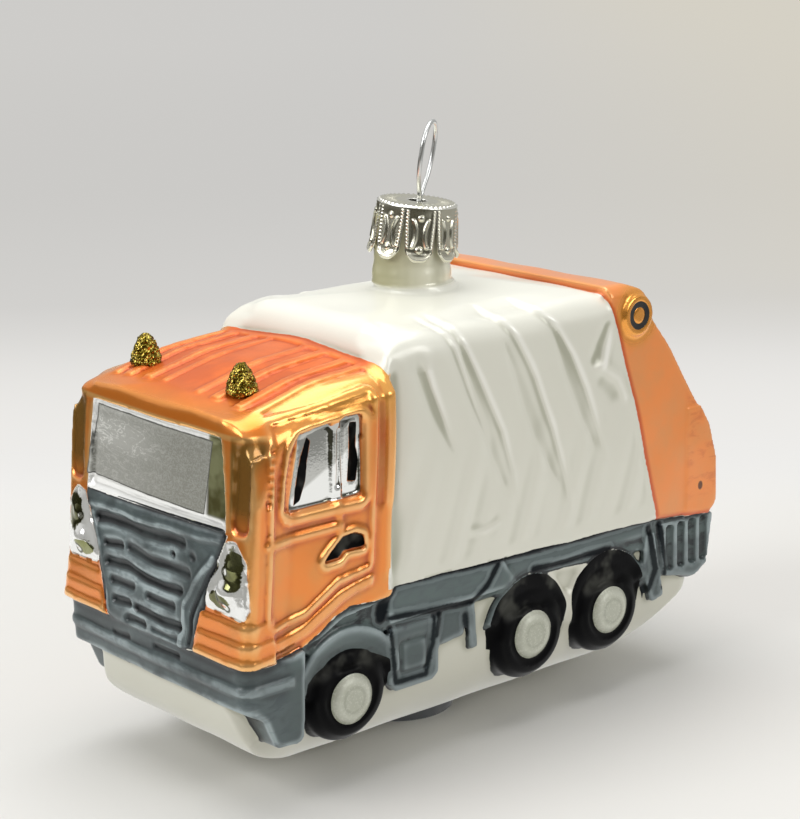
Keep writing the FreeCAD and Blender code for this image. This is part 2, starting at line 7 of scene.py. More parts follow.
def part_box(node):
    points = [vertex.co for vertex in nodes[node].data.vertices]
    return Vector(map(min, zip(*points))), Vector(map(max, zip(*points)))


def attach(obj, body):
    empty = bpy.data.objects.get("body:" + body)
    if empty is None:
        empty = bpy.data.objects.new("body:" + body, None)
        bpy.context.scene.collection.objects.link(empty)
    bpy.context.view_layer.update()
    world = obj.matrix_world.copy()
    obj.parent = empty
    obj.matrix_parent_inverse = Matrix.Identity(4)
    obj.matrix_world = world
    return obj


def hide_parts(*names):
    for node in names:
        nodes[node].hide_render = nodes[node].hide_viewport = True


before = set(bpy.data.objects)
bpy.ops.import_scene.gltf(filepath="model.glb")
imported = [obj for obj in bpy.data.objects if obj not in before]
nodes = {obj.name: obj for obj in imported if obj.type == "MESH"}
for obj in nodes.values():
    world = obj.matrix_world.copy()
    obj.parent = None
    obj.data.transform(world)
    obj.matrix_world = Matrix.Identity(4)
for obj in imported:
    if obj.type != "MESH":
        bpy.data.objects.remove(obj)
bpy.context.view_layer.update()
scene = bpy.context.scene
print("frame loaded,", len(nodes), "nodes")


def pick(*objs):
    bpy.ops.object.select_all(action="DESELECT")
    for obj in objs:
        obj.select_set(True)
    bpy.context.view_layer.objects.active = objs[0]
    return objs[0]


def editMesh(obj, *steps):
    pick(obj)
    bpy.ops.object.mode_set(mode="EDIT")
    bpy.ops.mesh.select_all(action="SELECT")
    for step in steps:
        step()
    bpy.ops.object.mode_set(mode="OBJECT")
    return obj


def modify(obj, kind, **settings):
    pick(obj)
    modifier = obj.modifiers.new(kind.lower(), kind)
    for key, value in settings.items():
        setattr(modifier, key, value)
    bpy.ops.object.modifier_apply(modifier=modifier.name)
    return obj


def smooth(obj, rounds, **settings):
    return modify(obj, "SMOOTH", factor=0.5, iterations=rounds, **settings)


def smoothPart(obj, weight, rounds, least=0.05):  # smooths more where the weight is near 1
    group = obj.vertex_groups.new(name="part")
    levels = 5
    for level in range(1, levels + 1):
        chosen = np.nonzero(np.ceil(np.clip(weight, 0, 1) * levels - least) == level)[0]
        group.add(chosen.tolist(), level / levels, "REPLACE")
    smooth(obj, rounds, vertex_group="part")
    obj.vertex_groups.remove(obj.vertex_groups["part"])


def twin(obj):  # a copy with a mesh of its own
    copy = obj.copy()
    copy.data = obj.data.copy()
    scene.collection.objects.link(copy)
    return copy


def nodeCopy(name):
    copy = twin(nodes[name])
    copy.parent = None
    return editMesh(copy, lambda: bpy.ops.mesh.remove_doubles(threshold=1e-6))


def middleOf(name, unit=1):  # the middle of a node's box
    return [(low + high) / 2 * unit for low, high in zip(*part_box(name))]


def readRows(items, name):  # three numbers for each item
    rows = np.empty(len(items) * 3, np.float32)
    items.foreach_get(name, rows)
    return rows.reshape(-1, 3).astype(float)


def points(obj):
    return readRows(obj.data.vertices, "co")


def pointNormals(obj):
    return readRows(obj.data.vertices, "normal")


def setPoints(obj, co):
    obj.data.vertices.foreach_set("co", co.astype(np.float32).ravel())
    obj.data.update()


def addField(obj, name, values):
    attribute = obj.data.attributes.new(name, "FLOAT", "POINT")
    attribute.data.foreach_set("value", values.astype(np.float32))


def reliefOf(obj, rounds):  # how far each point stands out of its surroundings, mm
    ghost = smooth(twin(obj), rounds)
    relief = ((points(obj) - points(ghost)) * pointNormals(ghost)).sum(1) * 1000
    bpy.data.objects.remove(ghost)
    return relief


def markRelief(obj, rounds, name):
    relief = reliefOf(obj, rounds)
    addField(obj, name, relief)
    print(name, "from", round(relief.min(), 2), "to", round(relief.max(), 2))


def ramp(value, low, high):  # soft step from 0 to 1
    t = np.clip((value - low) / (high - low), 0, 1)
    return t * t * (3 - 2 * t)


def hill(value, half):  # soft hump round 0
    return np.exp(-(value / half) ** 2)


def runAlong(path):  # how far along the path each of its points lies
    return np.concatenate(([0], np.cumsum(np.hypot(*np.diff(path, axis=0).T))))


def lineGap(u, v, line):  # distance to an open line
    best = np.full(len(u), 1e9)
    for (au, av), (bu, bv) in zip(line, line[1:]):
        run = ((u - au) * (bu - au) + (v - av) * (bv - av)) / ((bu - au) ** 2 + (bv - av) ** 2)
        run = np.clip(run, 0, 1)
        best = np.minimum(best, np.hypot(u - au - run * (bu - au), v - av - run * (bv - av)))
    return best


def polygonGap(u, v, outline):  # distance to an outline, below 0 inside it
    ring = list(outline) + [outline[0]]
    inside = np.zeros(len(u), bool)
    for (au, av), (bu, bv) in zip(ring, ring[1:]):
        if av != bv:
            crossing = au + (v - av) * (bu - au) / (bv - av)
            inside ^= ((av > v) != (bv > v)) & (u < crossing)
    gap = lineGap(u, v, ring)
    return np.where(inside, -gap, gap)


# camera, lamps and the pale table with its sweep behind
studio = {
    "cameraAt": (0.243768, 0.28327, 0.149149),
    "right": (-0.75673, 0.65352, -0.01637),
    "up": (-0.17456, -0.17787, 0.96845),
    "lens": 97.82,
    "floor": 6,
    "away": (-0.6504, -0.7596, 0),  # level heading from the camera to the back
    "across": (-0.7568, 0.6536, 0),
    "sweep": [(0.1, 0.87), (0.165, 0.855), (0.217, 0.83), (0.265, 0.775), (0.307, 0.7),
              (0.353, 0.645), (0.6, 0.585), (1.3, 0.62)],  # metres behind, brightness
}
lamps = {  # place, aim, size, watts
    "softboxAbove": ((-0.05, -0.15, 0.75), (0, 0, 0.03), (0.8, 0.6), 4),
    "softboxFront": ((0.75, -0.15, 0.5), (0.02, 0, 0.03), (0.5, 0.5), 3.7),
    "softboxSide": ((-0.25, 0.8, 0.4), (0, 0, 0.04), (0.5, 0.35), 2.3),
}


def makeStudio(p):
    camera = bpy.data.cameras.new("camera")
    camera.lens = p["lens"]
    camera.sensor_width = 36
    camera.clip_start = 0.02
    camera.clip_end = 20
    holder = bpy.data.objects.new("camera", camera)
    scene.collection.objects.link(holder)
    right, up = Vector(p["right"]).normalized(), Vector(p["up"]).normalized()
    turned = Matrix((right, up, right.cross(up))).transposed()
    holder.matrix_world = Matrix.Translation(p["cameraAt"]) @ turned.to_4x4()
    scene.camera = holder
    pick(holder)
    bpy.ops.mesh.primitive_plane_add(size=p["floor"], location=(0, 0, 0))
    floor = bpy.context.object
    floor.name = "studioFloor"
    for name, (at, aim, size, watts) in lamps.items():
        light = bpy.data.lights.new(name, "AREA")
        light.shape = "RECTANGLE"
        light.size, light.size_y = size
        light.energy = watts
        lamp = bpy.data.objects.new(name, light)
        scene.collection.objects.link(lamp)
        lamp.location = at
        lamp.rotation_euler = (Vector(aim) - Vector(at)).to_track_quat("-Z", "Y").to_euler()
    scene.view_settings.view_transform = "Standard"
    return floor


floor = makeStudio(studio)
print("studio ready")


class Sock:  # a socket that takes part in sums
    def __init__(self, tree, socket):
        self.tree, self.socket = tree, socket

    def math(self, operation, other=None, swap=False):
        given = [other, self] if swap else [self, other]
        given = {i: value for i, value in enumerate(given) if value is not None}
        return self.tree.node("Math", given, operation=operation)

    def __add__(self, other): return self.math("ADD", other)
    def __sub__(self, other): return self.math("SUBTRACT", other)
    def __rsub__(self, other): return self.math("SUBTRACT", other, swap=True)
    def __mul__(self, other): return self.math("MULTIPLY", other)
    def __truediv__(self, other): return self.math("DIVIDE", other)
    __radd__, __rmul__ = __add__, __mul__

    def step(self, low, high):
        return self.tree.node("MapRange", {0: self, 1: low, 2: high}, interpolation_type="SMOOTHSTEP")

    def below(self, low, high):  # 1 under the low value, 0 over the high one
        return 1 - self.step(low, high)

    def near(self, middle, half):  # 1 at the middle, 0 from half away
        return (self - middle).math("ABSOLUTE").below(half * 0.35, half)


class Finish:  # a material built up by small steps
    def __init__(self, name, holder=None, **fixed):
        self.material = holder or bpy.data.materials.new(name)
        self.material.use_nodes = True
        self.nodes = self.material.node_tree.nodes
        self.links = self.material.node_tree.links
        self.shader = self.nodes.get("Principled BSDF")
        self.put(**fixed)

    def node(self, kind, inputs=None, output=0, **settings):
        made = self.nodes.new("ShaderNode" + kind)
        for key, value in settings.items():
            if key == "stops":
                made.color_ramp.interpolation = "B_SPLINE"
                stops = made.color_ramp.elements
                while len(stops) < len(value):
                    stops.new(0.5)
                for stop, (place, colour) in zip(stops, value):
                    stop.position = place
                    stop.color = (*colour, 1)
            else:
                setattr(made, key, value)
        for key, value in (inputs or {}).items():
            self.give(made.inputs[key], value)
        return Sock(self, made.outputs[output])

    def give(self, target, value):
        if isinstance(value, Sock):
            self.links.new(value.socket, target)
            return
        if hasattr(value, "__len__") and len(value) < len(target.default_value):
            value = (*value, 1)  # colours are given without alpha
        target.default_value = value

    def put(self, **sockets):
        for key, value in sockets.items():
            self.give(self.shader.inputs[key.replace("_", " ")], value)
        return self

    def place(self):
        return self.node("TexCoord", output=3)

    def axis(self, name, where=None):
        return self.node("SeparateXYZ", {0: where or self.place()}, "XYZ".index(name))

    def along(self, heading, where=None):
        return self.node("VectorMath", {0: where or self.place(), 1: heading}, 1,
                         operation="DOT_PRODUCT")

    def field(self, name):
        return self.node("Attribute", output=2, attribute_name=name)

    def noise(self, scale, detail=3.0, rough=0.55, squeeze=None, distortion=0.0):
        where = self.place()
        if squeeze:
            where = self.node("Mapping", {0: where, 3: squeeze})
        return self.node("TexNoise", {"Vector": where, "Scale": scale, "Detail": detail,
                                      "Roughness": rough, "Distortion": distortion})

    def speckle(self, scale):  # one random value for each grain
        return self.axis("X", self.node("TexVoronoi", {"Vector": self.place(), "Scale": scale}, 1))

    def mix(self, mask, low, high):
        return self.node("Mix", {0: mask, 6: low, 7: high}, 2, data_type="RGBA")

    def over(self, shade, colours, **masks):  # lays each named colour over the shade
        for name, mask in masks.items():
            colour = colours[name]
            if isinstance(mask, tuple):  # two colours, told apart by a second mask
                mask, between = mask
                colour = self.mix(between, *colour)
            shade = self.mix(mask, shade, colour)
        return shade


# the glass wall: one skin melted over the relief, parted again where the lacquers meet
glass = {
    "voxel": 0.00031,
    "plug": (0.96, 0.96, 0.36),  # closes the neck low down, below the cap's reach
    "drapeRounds": 45,  # the load body's sides are smoother than the rest
    "soften": 6,
    "soothe": 2,
    "reliefRounds": 36,
    "swellRounds": 180,
}
paints = {  # paint: the nodes that wear it
    "orange": ["cab", "tailgate"],
    "pearl": ["load_body", "belly", "neck"],
    "grey": ["chassis", "bumper", "grille"],
    "black": [n for n in nodes if n.startswith(("tyre", "handle"))],
    "glitter": [n for n in nodes if n.startswith("hub")],
    "silver": [n for n in nodes if n.startswith(("window_", "headlamp", "windscreen"))],
}
painted = [name for group in paints.values() for name in group]


def glassSkin(p):
    copies = [nodeCopy(name) for name in painted]
    for copy, name in zip(copies, painted):
        if name == "grille":  # its slots are pressed later, softer
            editMesh(copy, bpy.ops.mesh.convex_hull)
    plug = nodeCopy("neck")
    editMesh(plug, bpy.ops.mesh.convex_hull)
    foot = (*middleOf("neck")[:2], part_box("neck")[0][2])
    editMesh(plug, lambda: bpy.ops.transform.resize(value=p["plug"], center_override=foot))
    pick(*copies, plug)
    bpy.ops.object.join()
    skin = bpy.context.object
    skin.name = "glassSkin"
    return modify(skin, "REMESH", mode="VOXEL", voxel_size=p["voxel"], adaptivity=0)


skin = glassSkin(glass)
print("skin:", len(skin.data.polygons), "faces")


# drapery folds down both sides of the load body: a slack slope ending at a crisp line; mm
folds = {
    "lines": [  # (x, z) from top to foot, depth, width of the slope, fading tail
        ([(17.6, 74), (15.9, 69.1), (13.9, 63.3), (11.4, 57.3), (9.7, 52.6)], 0.52, 5.2, 8),
        ([(10.6, 74), (8.7, 69.6), (5.9, 62.5), (3, 55.8), (0.8, 49.6)], 0.4, 2.6, 12),
        ([(8.2, 74), (6.2, 68.7), (2.9, 62), (-1.5, 53.2), (-3.8, 45.8), (-5.3, 37.9)],
         0.5, 3.4, 18),
        ([(-2.8, 74), (-5.4, 68.5), (-9.3, 61), (-13.2, 51.6), (-16, 43.4), (-18, 34)],
         0.58, 5.2, 20),
        ([(-10.4, 74), (-13.6, 70.1), (-17.9, 63.6), (-21.2, 57.2), (-24.5, 48.9), (-27.9, 39.2)],
         0.56, 5.2, 24)],
    "step": 0.32,  # how soon the wall is back level behind the line
    "crest": (0.08, 0.85, 0.75),  # height, distance behind the line, half width
    "dents": [  # line, height, half width
        ([(-27, 67), (-25.2, 64.4), (-24, 61.8)], -0.6, 1.4),
        ([(-27.6, 66.8), (-26.6, 63.8), (-25.9, 61)], 0.45, 0.8),
        ([(-24.4, 60.6), (-26.6, 59.4), (-29.4, 57.6), (-31.4, 54)], 0.3, 1),
        ([(-25.4, 57.4), (-28.4, 54.8)], -0.25, 1.6),
        ([(-0.8, 37.5), (2.4, 36.6), (5.6, 37)], 0.16, 0.6),
        ([(-0.2, 38.5), (2.6, 37.7), (5, 38)], -0.08, 0.7)],
    "ripple": 0.1,
    "rear": (-39.5, 30, 0.286),  # x where the sides end at this z, and how that edge slants
    "gap": (22.4, 3, 0.95),  # x, reach and depth of the hollow behind the cab
    "sag": (-2, 13, 0.85),  # x, reach and depth of the shoulder's sag
}


def foldDepth(x, z, p):
    push = np.zeros(len(x))
    crestHigh, crestBack, crestHalf = p["crest"]
    for line, depth, width, tail in p["lines"]:
        path = np.array(sorted(line, key=lambda q: q[1]))
        lean = math.cos(math.atan2(path[-1, 0] - path[0, 0], path[-1, 1] - path[0, 1]))
        t = (x - np.interp(z, path[:, 1], path[:, 0])) * lean
        ahead = -depth * np.exp(-(np.maximum(t, 0) / (0.6 * width)) ** 1.6)
        behind = -depth * hill(t, p["step"]) + crestHigh * hill(t + crestBack, crestHalf)
        push += np.where(t > 0, ahead, behind) * ramp(z, path[0, 1] - 1, path[0, 1] + tail)
    for line, height, half in p["dents"]:
        push += height * hill(lineGap(x, z, line), half)
    slack = x + 0.34 * (z - 30)  # faint upright ripples all the way down
    ripple = np.sin(slack / 1.35) + 0.8 * np.sin(slack / 0.83 + 1.9)
    push += p["ripple"] * ripple * ramp(60 - z, 0, 20)
    gapX, reach, depth = p["gap"]
    push -= depth * hill(np.minimum(x - gapX, 0), reach) * ramp(z, 33, 38)
    sagX, reach, depth = p["sag"]
    push -= depth * hill(x - sagX, reach) * ramp(z, 62, 71)
    return push


def drapeSides(obj, p):
    x, y, z = points(obj).T * 1000
    rearX, rearZ, slant = p["rear"]
    rear = rearX + (z - rearZ) * slant
    side = (ramp(np.abs(y), 13, 18) * ramp(x - rear, 0.2, 1.4) * ramp(22.6 - x, 0, 1)
            * ramp(z, 31.5, 34))
    smoothPart(obj, side * (side > 0.02), glass["drapeRounds"], 0)
    co = points(obj) * 1000
    push = foldDepth(co[:, 0], co[:, 2], p) * side
    setPoints(obj, (co + pointNormals(obj) * push[:, None]) / 1000)


# forms pressed by the mould into the soft glass; lines in mm, (y, z) in front, (x, z) on the sides
mould = {
    "front": [  # line, half width, height
        ([(-15, 42.2), (-4.2, 42.6), (8.4, 42.8)], 0.95, -0.6),
        ([(6.6, 40.6), (6.7, 40.5)], 0.45, -0.4), ([(11.3, 41.5), (11.7, 41.2)], 0.6, -0.3),
        ([(-12.8, 38.3), (-7.9, 38.6)], 0.65, -0.5),
        ([(-5.5, 38.9), (0.3, 38.6), (10.2, 38.2)], 0.85, -0.5),
        ([(-12, 35.4), (-6.8, 35.6), (0, 35.1), (8.4, 34.9)], 0.8, -0.65),
        ([(-10.3, 32.6), (-4.3, 32.6)], 0.7, -0.45), ([(0.2, 32.4), (6.6, 32.3)], 0.75, -0.5),
        ([(-9.8, 29.6), (-5.2, 29.6)], 0.7, -0.6),
        ([(-3.2, 29.3), (1.3, 29.2), (8.7, 29.3)], 0.8, -0.65),
        ([(-5.7, 27.2), (-1.2, 27.2)], 0.75, -0.6), ([(1.6, 27.1), (8, 27.3)], 0.45, -0.3),
        ([(16.6, 42.4), (12.4, 37.4), (10.1, 33.2), (9.6, 29.4), (9, 26.6)], 0.45, 0.35),
        ([(-16.6, 42.7), (-14.6, 37.7), (-12.9, 31.8), (-11.3, 27.4)], 0.4, 0.25),
        ([(17.4, 41.4), (13.5, 35.8), (11.6, 31), (11, 27)], 0.4, -0.45),
        ([(-17.4, 41.4), (-14.2, 35.8), (-12.6, 31), (-12, 27)], 0.3, -0.3),
        ([(-18, 44), (0, 44.3), (18.2, 45.2)], 0.35, 0.2),
        ([(1.5, 24.1), (7.6, 24.4)], 0.45, -0.35), ([(-10.5, 23.6), (-6, 23.9)], 0.45, -0.25)],
    "side": [
        ([(34.2, 60.4), (34.3, 56), (34.6, 51.6)], 0.32, -0.4),
        ([(31.1, 60.4), (30.9, 57), (30.7, 54.6), (31.2, 52.2)], 0.5, -0.3),
        ([(33, 60.6), (33.2, 51.9)], 0.4, 0.18)],
    "wander": 0.17,  # how far the grille's slots stray
    "pits": [  # a dotted hollow: line, pitch, radius, depth
        ([(42, 60.9), (43.9, 58.2), (45, 54.3), (45.5, 50)], 1.05, 0.5, 0.42),
        ([(47.6, 59.6), (48.7, 53.9), (49.3, 50.9)], 1.3, 0.55, 0.34)],
    "corner": (46.5, 59.2, 17.5, 90), # x, z, y beyond which the cab's corners are rounder, rounds
    "shoulder": (12, 66, 15, 130),  # the same for the load body's upper corners
    "crispRounds": 30,
    "roofCrisp": 0.35,  # how much the roof's ridges stand out again
    "flat": (21.35, 22.3),  # y of the belly between the wheels, and round the tyres
    "screen": [(-18.7, 46.6), (18.9, 46.8), (17.4, 61.2), (-17.4, 61.2)],
    "pane": [(44.4, 49.2), (29.7, 49.3), (29.6, 62.3), (41.8, 61.5)],
    "paneRim": (1.5, 0.5),  # width and fall of the panes' rolled edges
    "lamp": [(21.8, 46), (19.6, 45.4), (14.9, 37), (14.7, 34.4), (24.3, 33.8), (25.1, 35.6),
             (24.4, 43.2)],
    "lampDome": (3.6, 0.75, 0.35),  # reach and rise of the lamps' glass, share it is set back
    "pillow": (39, 38.5, 7, 6, 0.35),  # x, z, their half widths, and the door's swell
    "waver": 0.07,  # slow waves of a wall blown by mouth
    "cabHeel": (23, 1.3),  # x of the cab's rear edge, and how far its foot goes forward
    "neck": (6.85, 6.5, 0.3, 0.7),  # radius at the foot and above, bead, drift
    "settle": 80,  # rounds of smoothing where the wall was sunk
}


def roundCorners(obj, p):
    x, y, z = points(obj).T * 1000
    cornerX, cornerZ, cornerY, rounds = p["corner"]
    smoothPart(obj, ramp(x, cornerX, cornerX + 2) * ramp(z, cornerZ, cornerZ + 1.5)
               * ramp(np.abs(y), cornerY, cornerY + 2), rounds)
    shoulderX, shoulderZ, shoulderY, rounds = p["shoulder"]
    smoothPart(obj, ramp(x, shoulderX, shoulderX + 4) * ramp(24.5 - x, 0, 1.5)
               * ramp(np.abs(y), shoulderY, shoulderY + 3) * ramp(z, shoulderZ, shoulderZ + 3)
               * (x > 8), rounds)


def sinkArches(co, p):  # between and round the wheels
    x, y, z = co.T
    hubs, tyres = wheelGaps(x, z, brushwork)
    betweenWheels, roundWheels = p["flat"]
    between = -np.clip(polygonGap(x, z, brushwork["between"]), -9, 9)
    excess = np.maximum(np.abs(y) - betweenWheels, 0) * ramp(between, -0.3, 0.5) * ramp(tyres, 0.2, 0.9)
    excess += (np.maximum(np.abs(y) - roundWheels, 0) * ramp(-tyres, -0.2, 0.3)
               * ramp(hubs, 4.6, 5.2) * (z > 20))
    co[:, 1] -= np.sign(y) * excess * (np.abs(y) > 20) * (np.abs(x) < 45) * (z < 31)


def pressDepth(co, normal, crisp, p):
    x, y, z = co.T
    onFront = ramp(x, 44.5, 46.5) * ramp(normal[:, 0], 0.2, 0.5)
    onSide = ramp(np.abs(y), 18.5, 20.5) * ramp(np.abs(normal[:, 1]), 0.2, 0.5)
    push = np.zeros(len(co))
    wander = p["wander"]
    strayY = y + wander * np.sin(z * 0.9 + y * 0.3)
    strayZ = z + wander * np.sin(y * 0.4 + z * 0.2) + wander * 0.3 * np.sin(y * 1.0 + z)
    for key, on, u, v, inner, outer in (("front", onFront, strayY, strayZ, 0.3, 1.7),
                                        ("side", onSide, x, z, 0.55, 1.45)):
        for line, half, height in p[key]:
            push += height * on * (1 - ramp(lineGap(u, v, line), half * inner, half * outer))
    for line, pitch, radius, depth in p["pits"]:
        path = np.array(line)
        run = runAlong(path)
        for at in np.arange(0, run[-1], pitch):
            spotX, spotZ = np.interp(at, run, path[:, 0]), np.interp(at, run, path[:, 1])
            push -= depth * onSide * hill(np.hypot(x - spotX, z - spotZ), radius)
    width, fall = p["paneRim"]
    for key, on, u, deep, wide in (("screen", onFront, y, 1, 1), ("pane", onSide, x, 0.5, 0.8)):
        pane = polygonGap(u, z, p[key])
        push -= fall * deep * on * (pane < 0) * (1 - ramp(-pane, 0, width * wide))
    reach, rise, setBack = p["lampDome"]
    lamp = polygonGap(np.abs(y), z, p["lamp"])
    dome = 1 - (1 - np.clip(-lamp / reach, 0, 1)) ** 2
    push += rise * onFront * (lamp < 0) * dome - setBack * rise * onFront * (lamp < 0)
    push += p["roofCrisp"] * crisp * ramp(normal[:, 2], 0.6, 0.85) * ramp(x, 23, 25) * ramp(z, 60, 63)
    middleX, middleZ, halfX, halfZ, rise = p["pillow"]
    push += rise * onSide * hill(x - middleX, halfX) * hill(z - middleZ, halfZ)
    for turn in (0, 1.7, 3.4):
        push += (p["waver"] * np.sin(x / 3.1 + turn * 2 + y / 5.3) * np.sin(z / 3.7 + turn)
                 * np.sin(y / 4.3 + turn * 3))
    return push * (1 - ramp(z, 74.2, 75) * (x > -12) * (x < 6))  # none of it on the neck


def moveHeel(co, p):
    x, y, z = co.T
    heelX, heel = p["cabHeel"]
    co[:, 0] += (heel * ramp(62 - z, 0, 27) * ramp(z, 28.6, 31) * ramp(x, heelX - 11, heelX - 1.5)
                 * (1 - ramp(x, heelX + 1, heelX + 13)) * ramp(np.abs(y), 14, 19))


def straightenNeck(co, p):  # over a bead, and a little off its place
    x, y, z = co.T
    middleX, middleY, _ = middleOf("neck", 1000)
    foot, above, bead, drift = p["neck"]
    awayX, awayY = x - middleX, y - middleY
    r = np.hypot(awayX, awayY) + 1e-9
    target = foot + (above - foot) * ramp(z, 77, 79.5) + bead * hill(z - 75.5, 0.35)
    outer = ramp(z, 74.9, 75.6) * (r > 5.6) * (r < 10) * ramp(86.5 - z, 0, 4)
    factor = 1 + outer * (target / r - 1)
    along = ramp(z, 74.9, 76) * (r < 10)
    co[:, 0] = x + awayX * (factor - 1) - along * drift * studio["right"][0]
    co[:, 1] = y + awayY * (factor - 1) - along * drift * studio["right"][1]


def pressMould(obj, p):
    roundCorners(obj, p)
    crisp = reliefOf(obj, p["crispRounds"])
    co = points(obj) * 1000
    normal = pointNormals(obj)
    sinkArches(co, p)
    co += normal * pressDepth(co, normal, crisp, p)[:, None]
    moveHeel(co, p)
    straightenNeck(co, p)
    setPoints(obj, co / 1000)
    x, y, z = co.T  # soften what was sunk round the wheels and at the cab's heel
    hubs, tyres = wheelGaps(x, z, brushwork)
    onSide = ramp(np.abs(y), 18, 20) * (np.abs(x) < 45) * (z < 48)
    between = polygonGap(x, z, brushwork["between"])
    band = ramp(tyres, -4.6, -3.2) * ramp(1.6 - tyres, 0, 1) * ramp(z, 16, 18) * (z < 31)
    band = np.maximum(band, ramp(0.6 - between, 0, 0.8) * ramp(tyres, -0.6, 0.2))
    heel = ramp(x, 18, 20) * ramp(27.5 - x, 0, 1.5) * ramp(z, 27.5, 29) * ramp(47 - z, 0, 2) * 0.8
    smoothPart(obj, np.maximum(band, heel) * onSide, p["settle"])


brushwork = {  # where a lacquer goes over the edge of its own form; outlines in mm
    "front": [
        ("silver", [(-19, 46.2), (19.2, 46.9), (17.6, 61.3), (-17.6, 61.3)]),
        ("grey", [(-19, 46.3), (-15.2, 38.6), (-13.8, 33.6), (-11.8, 26.2), (11.8, 26.2), (14, 33.6),
                  (15.4, 38.6), (19.4, 46.9)]),
        ("grey", [(13, 44.5), (19.9, 46.6), (15.6, 38), (14.7, 33.6), (12, 33.6)])],
    "side": [
        ("black", [(34.5, 60.3), (33.8, 60.3), (34.1, 51.6), (34.9, 51.7)]),
        ("black", [(31.6, 61.1), (30.3, 60.9), (30.5, 56.9), (30.1, 54.7), (30.6, 51.5), (32.3, 51.7),
                   (31.8, 55.8)]),
        ("black", [(43.1, 49.9), (42.5, 53.5), (41.5, 57.4), (40.2, 60.3), (39.5, 59.6),
                   (40.4, 56.4), (40.8, 53.4), (41.9, 50.6)]),
        ("silver", [(33.4, 49.4), (36.4, 49.5), (36.2, 61.2), (33.4, 61.6)]),
        ("grey", [(20.5, 30.2), (24.9, 30.6), (32.9, 31.2), (36.1, 30.2), (38.8, 28.5), (41.6, 27.1),
                  (45.5, 25.8), (45.5, 20), (20.5, 20)])],
    "wash": [  # where black wash has run along the chassis: line, half width
        ([(23.4, 32.5), (10.3, 31.9), (0.1, 31.3), (-6.9, 31), (-16.4, 30.8), (-28.9, 30.6),
          (-36.6, 30.9), (-47.2, 30.3), (-53.7, 29.3)], 0.3),
        ([(23.4, 32.1), (24.7, 30.4), (25, 27)], 0.75),
        ([(23.5, 26.6), (13.7, 25.8), (5.3, 25.1), (2, 27.3), (-0.4, 30.4)], 0.28),
        ([(-9.2, 27.4), (-16.5, 27), (-22, 27.1), (-27.7, 26.8)], 0.25),
        ([(23.3, 24.6), (23, 19.6), (22.4, 15.2), (15.9, 15), (14.3, 20), (13.8, 24.4)], 0.2),
        ([(13.4, 21.3), (12.6, 24.6)], 0.3), ([(6.8, 22.9), (6.3, 19.4)], 0.35),
        ([(-37.6, 28.5), (-39.6, 20.5), (-37.4, 16.4)], 0.45),
        ([(-40.6, 28.6), (-42.2, 20.5), (-41.5, 16.6)], 0.25)],
    "flanks": (16.5, 44.5),  # |y| from where the sides' outlines count, x for the front's
    "frost": [(-17.2, 60.5), (-19.2, 48.5), (13, 48.2), (14.9, 60.2)],
    "between": [(-27.2, 8), (-8.3, 8), (-8.3, 26), (-27.2, 25)],
    "tyres": {"front": (0.5, 8.5), "middle": (1.1, 9.4), "rear": (1.1, 9.4)},  # rise, half height
    "tyre": (8.3, 0.7, 0.16, 8.5),  # half width, wider above by, pointed foot, mean radius
    "hub": 4.25,
    "heel": (22.3, 2.4, 47, 14),  # the cab's rear edge: x, lean, from z down, over this height
    "arch": (10.6, 15, 0.2, 0.8),  # grey over a wheel: radius, lowest z, off the belly, gain
}


def wheelGaps(x, z, p):  # distance from the nearest hub's middle and a tyre's outline
    hubs, tyres = np.full(len(x), 99.0), np.full(len(x), 99.0)
    half, wider, foot, radius = p["tyre"]
    for place, (rise, halfUp) in p["tyres"].items():
        hubX, _, hubZ = middleOf("hub_" + place + "_left", 1000)
        hubs = np.minimum(hubs, np.hypot(x - hubX, z - hubZ))
        tyreX, _, tyreZ = middleOf("tyre_" + place + "_left", 1000)
        across = (x - tyreX) / (half + wider * ramp(z, tyreZ, tyreZ + 4))
        up = (z - tyreZ - rise) / halfUp
        ahead = np.clip(across, 0, 1) * np.clip(-up, 0, 1)
        tyres = np.minimum(tyres, (np.hypot(across, up) - 1 - foot * ahead) * radius)
    return hubs, tyres


drapeSides(skin, folds)
smooth(skin, glass["soften"])
pressMould(skin, mould)
smooth(skin, glass["soothe"])
print("skin draped, pressed and softened")


def nodeTree(names):
    corners, faces, owner = [], [], []
    for index, name in enumerate(names):
        mesh = nodes[name].data
        start = len(corners)
        corners += [v.co.copy() for v in mesh.vertices]
        faces += [[start + i for i in poly.vertices] for poly in mesh.polygons]
        owner += [index] * len(mesh.polygons)
    return BVHTree.FromPolygons(corners, faces), owner


def lacquerGaps(spots, reach):  # each paint's distance from its own nodes, mm
    gaps = {}
    for paint, names in paints.items():
        tree = nodeTree(names)[0]
        hits = [tree.find_nearest(Vector(spot), reach)[3] for spot in spots]
        gaps[paint] = np.array([reach if hit is None else hit for hit in hits]) * 1000
    return gaps


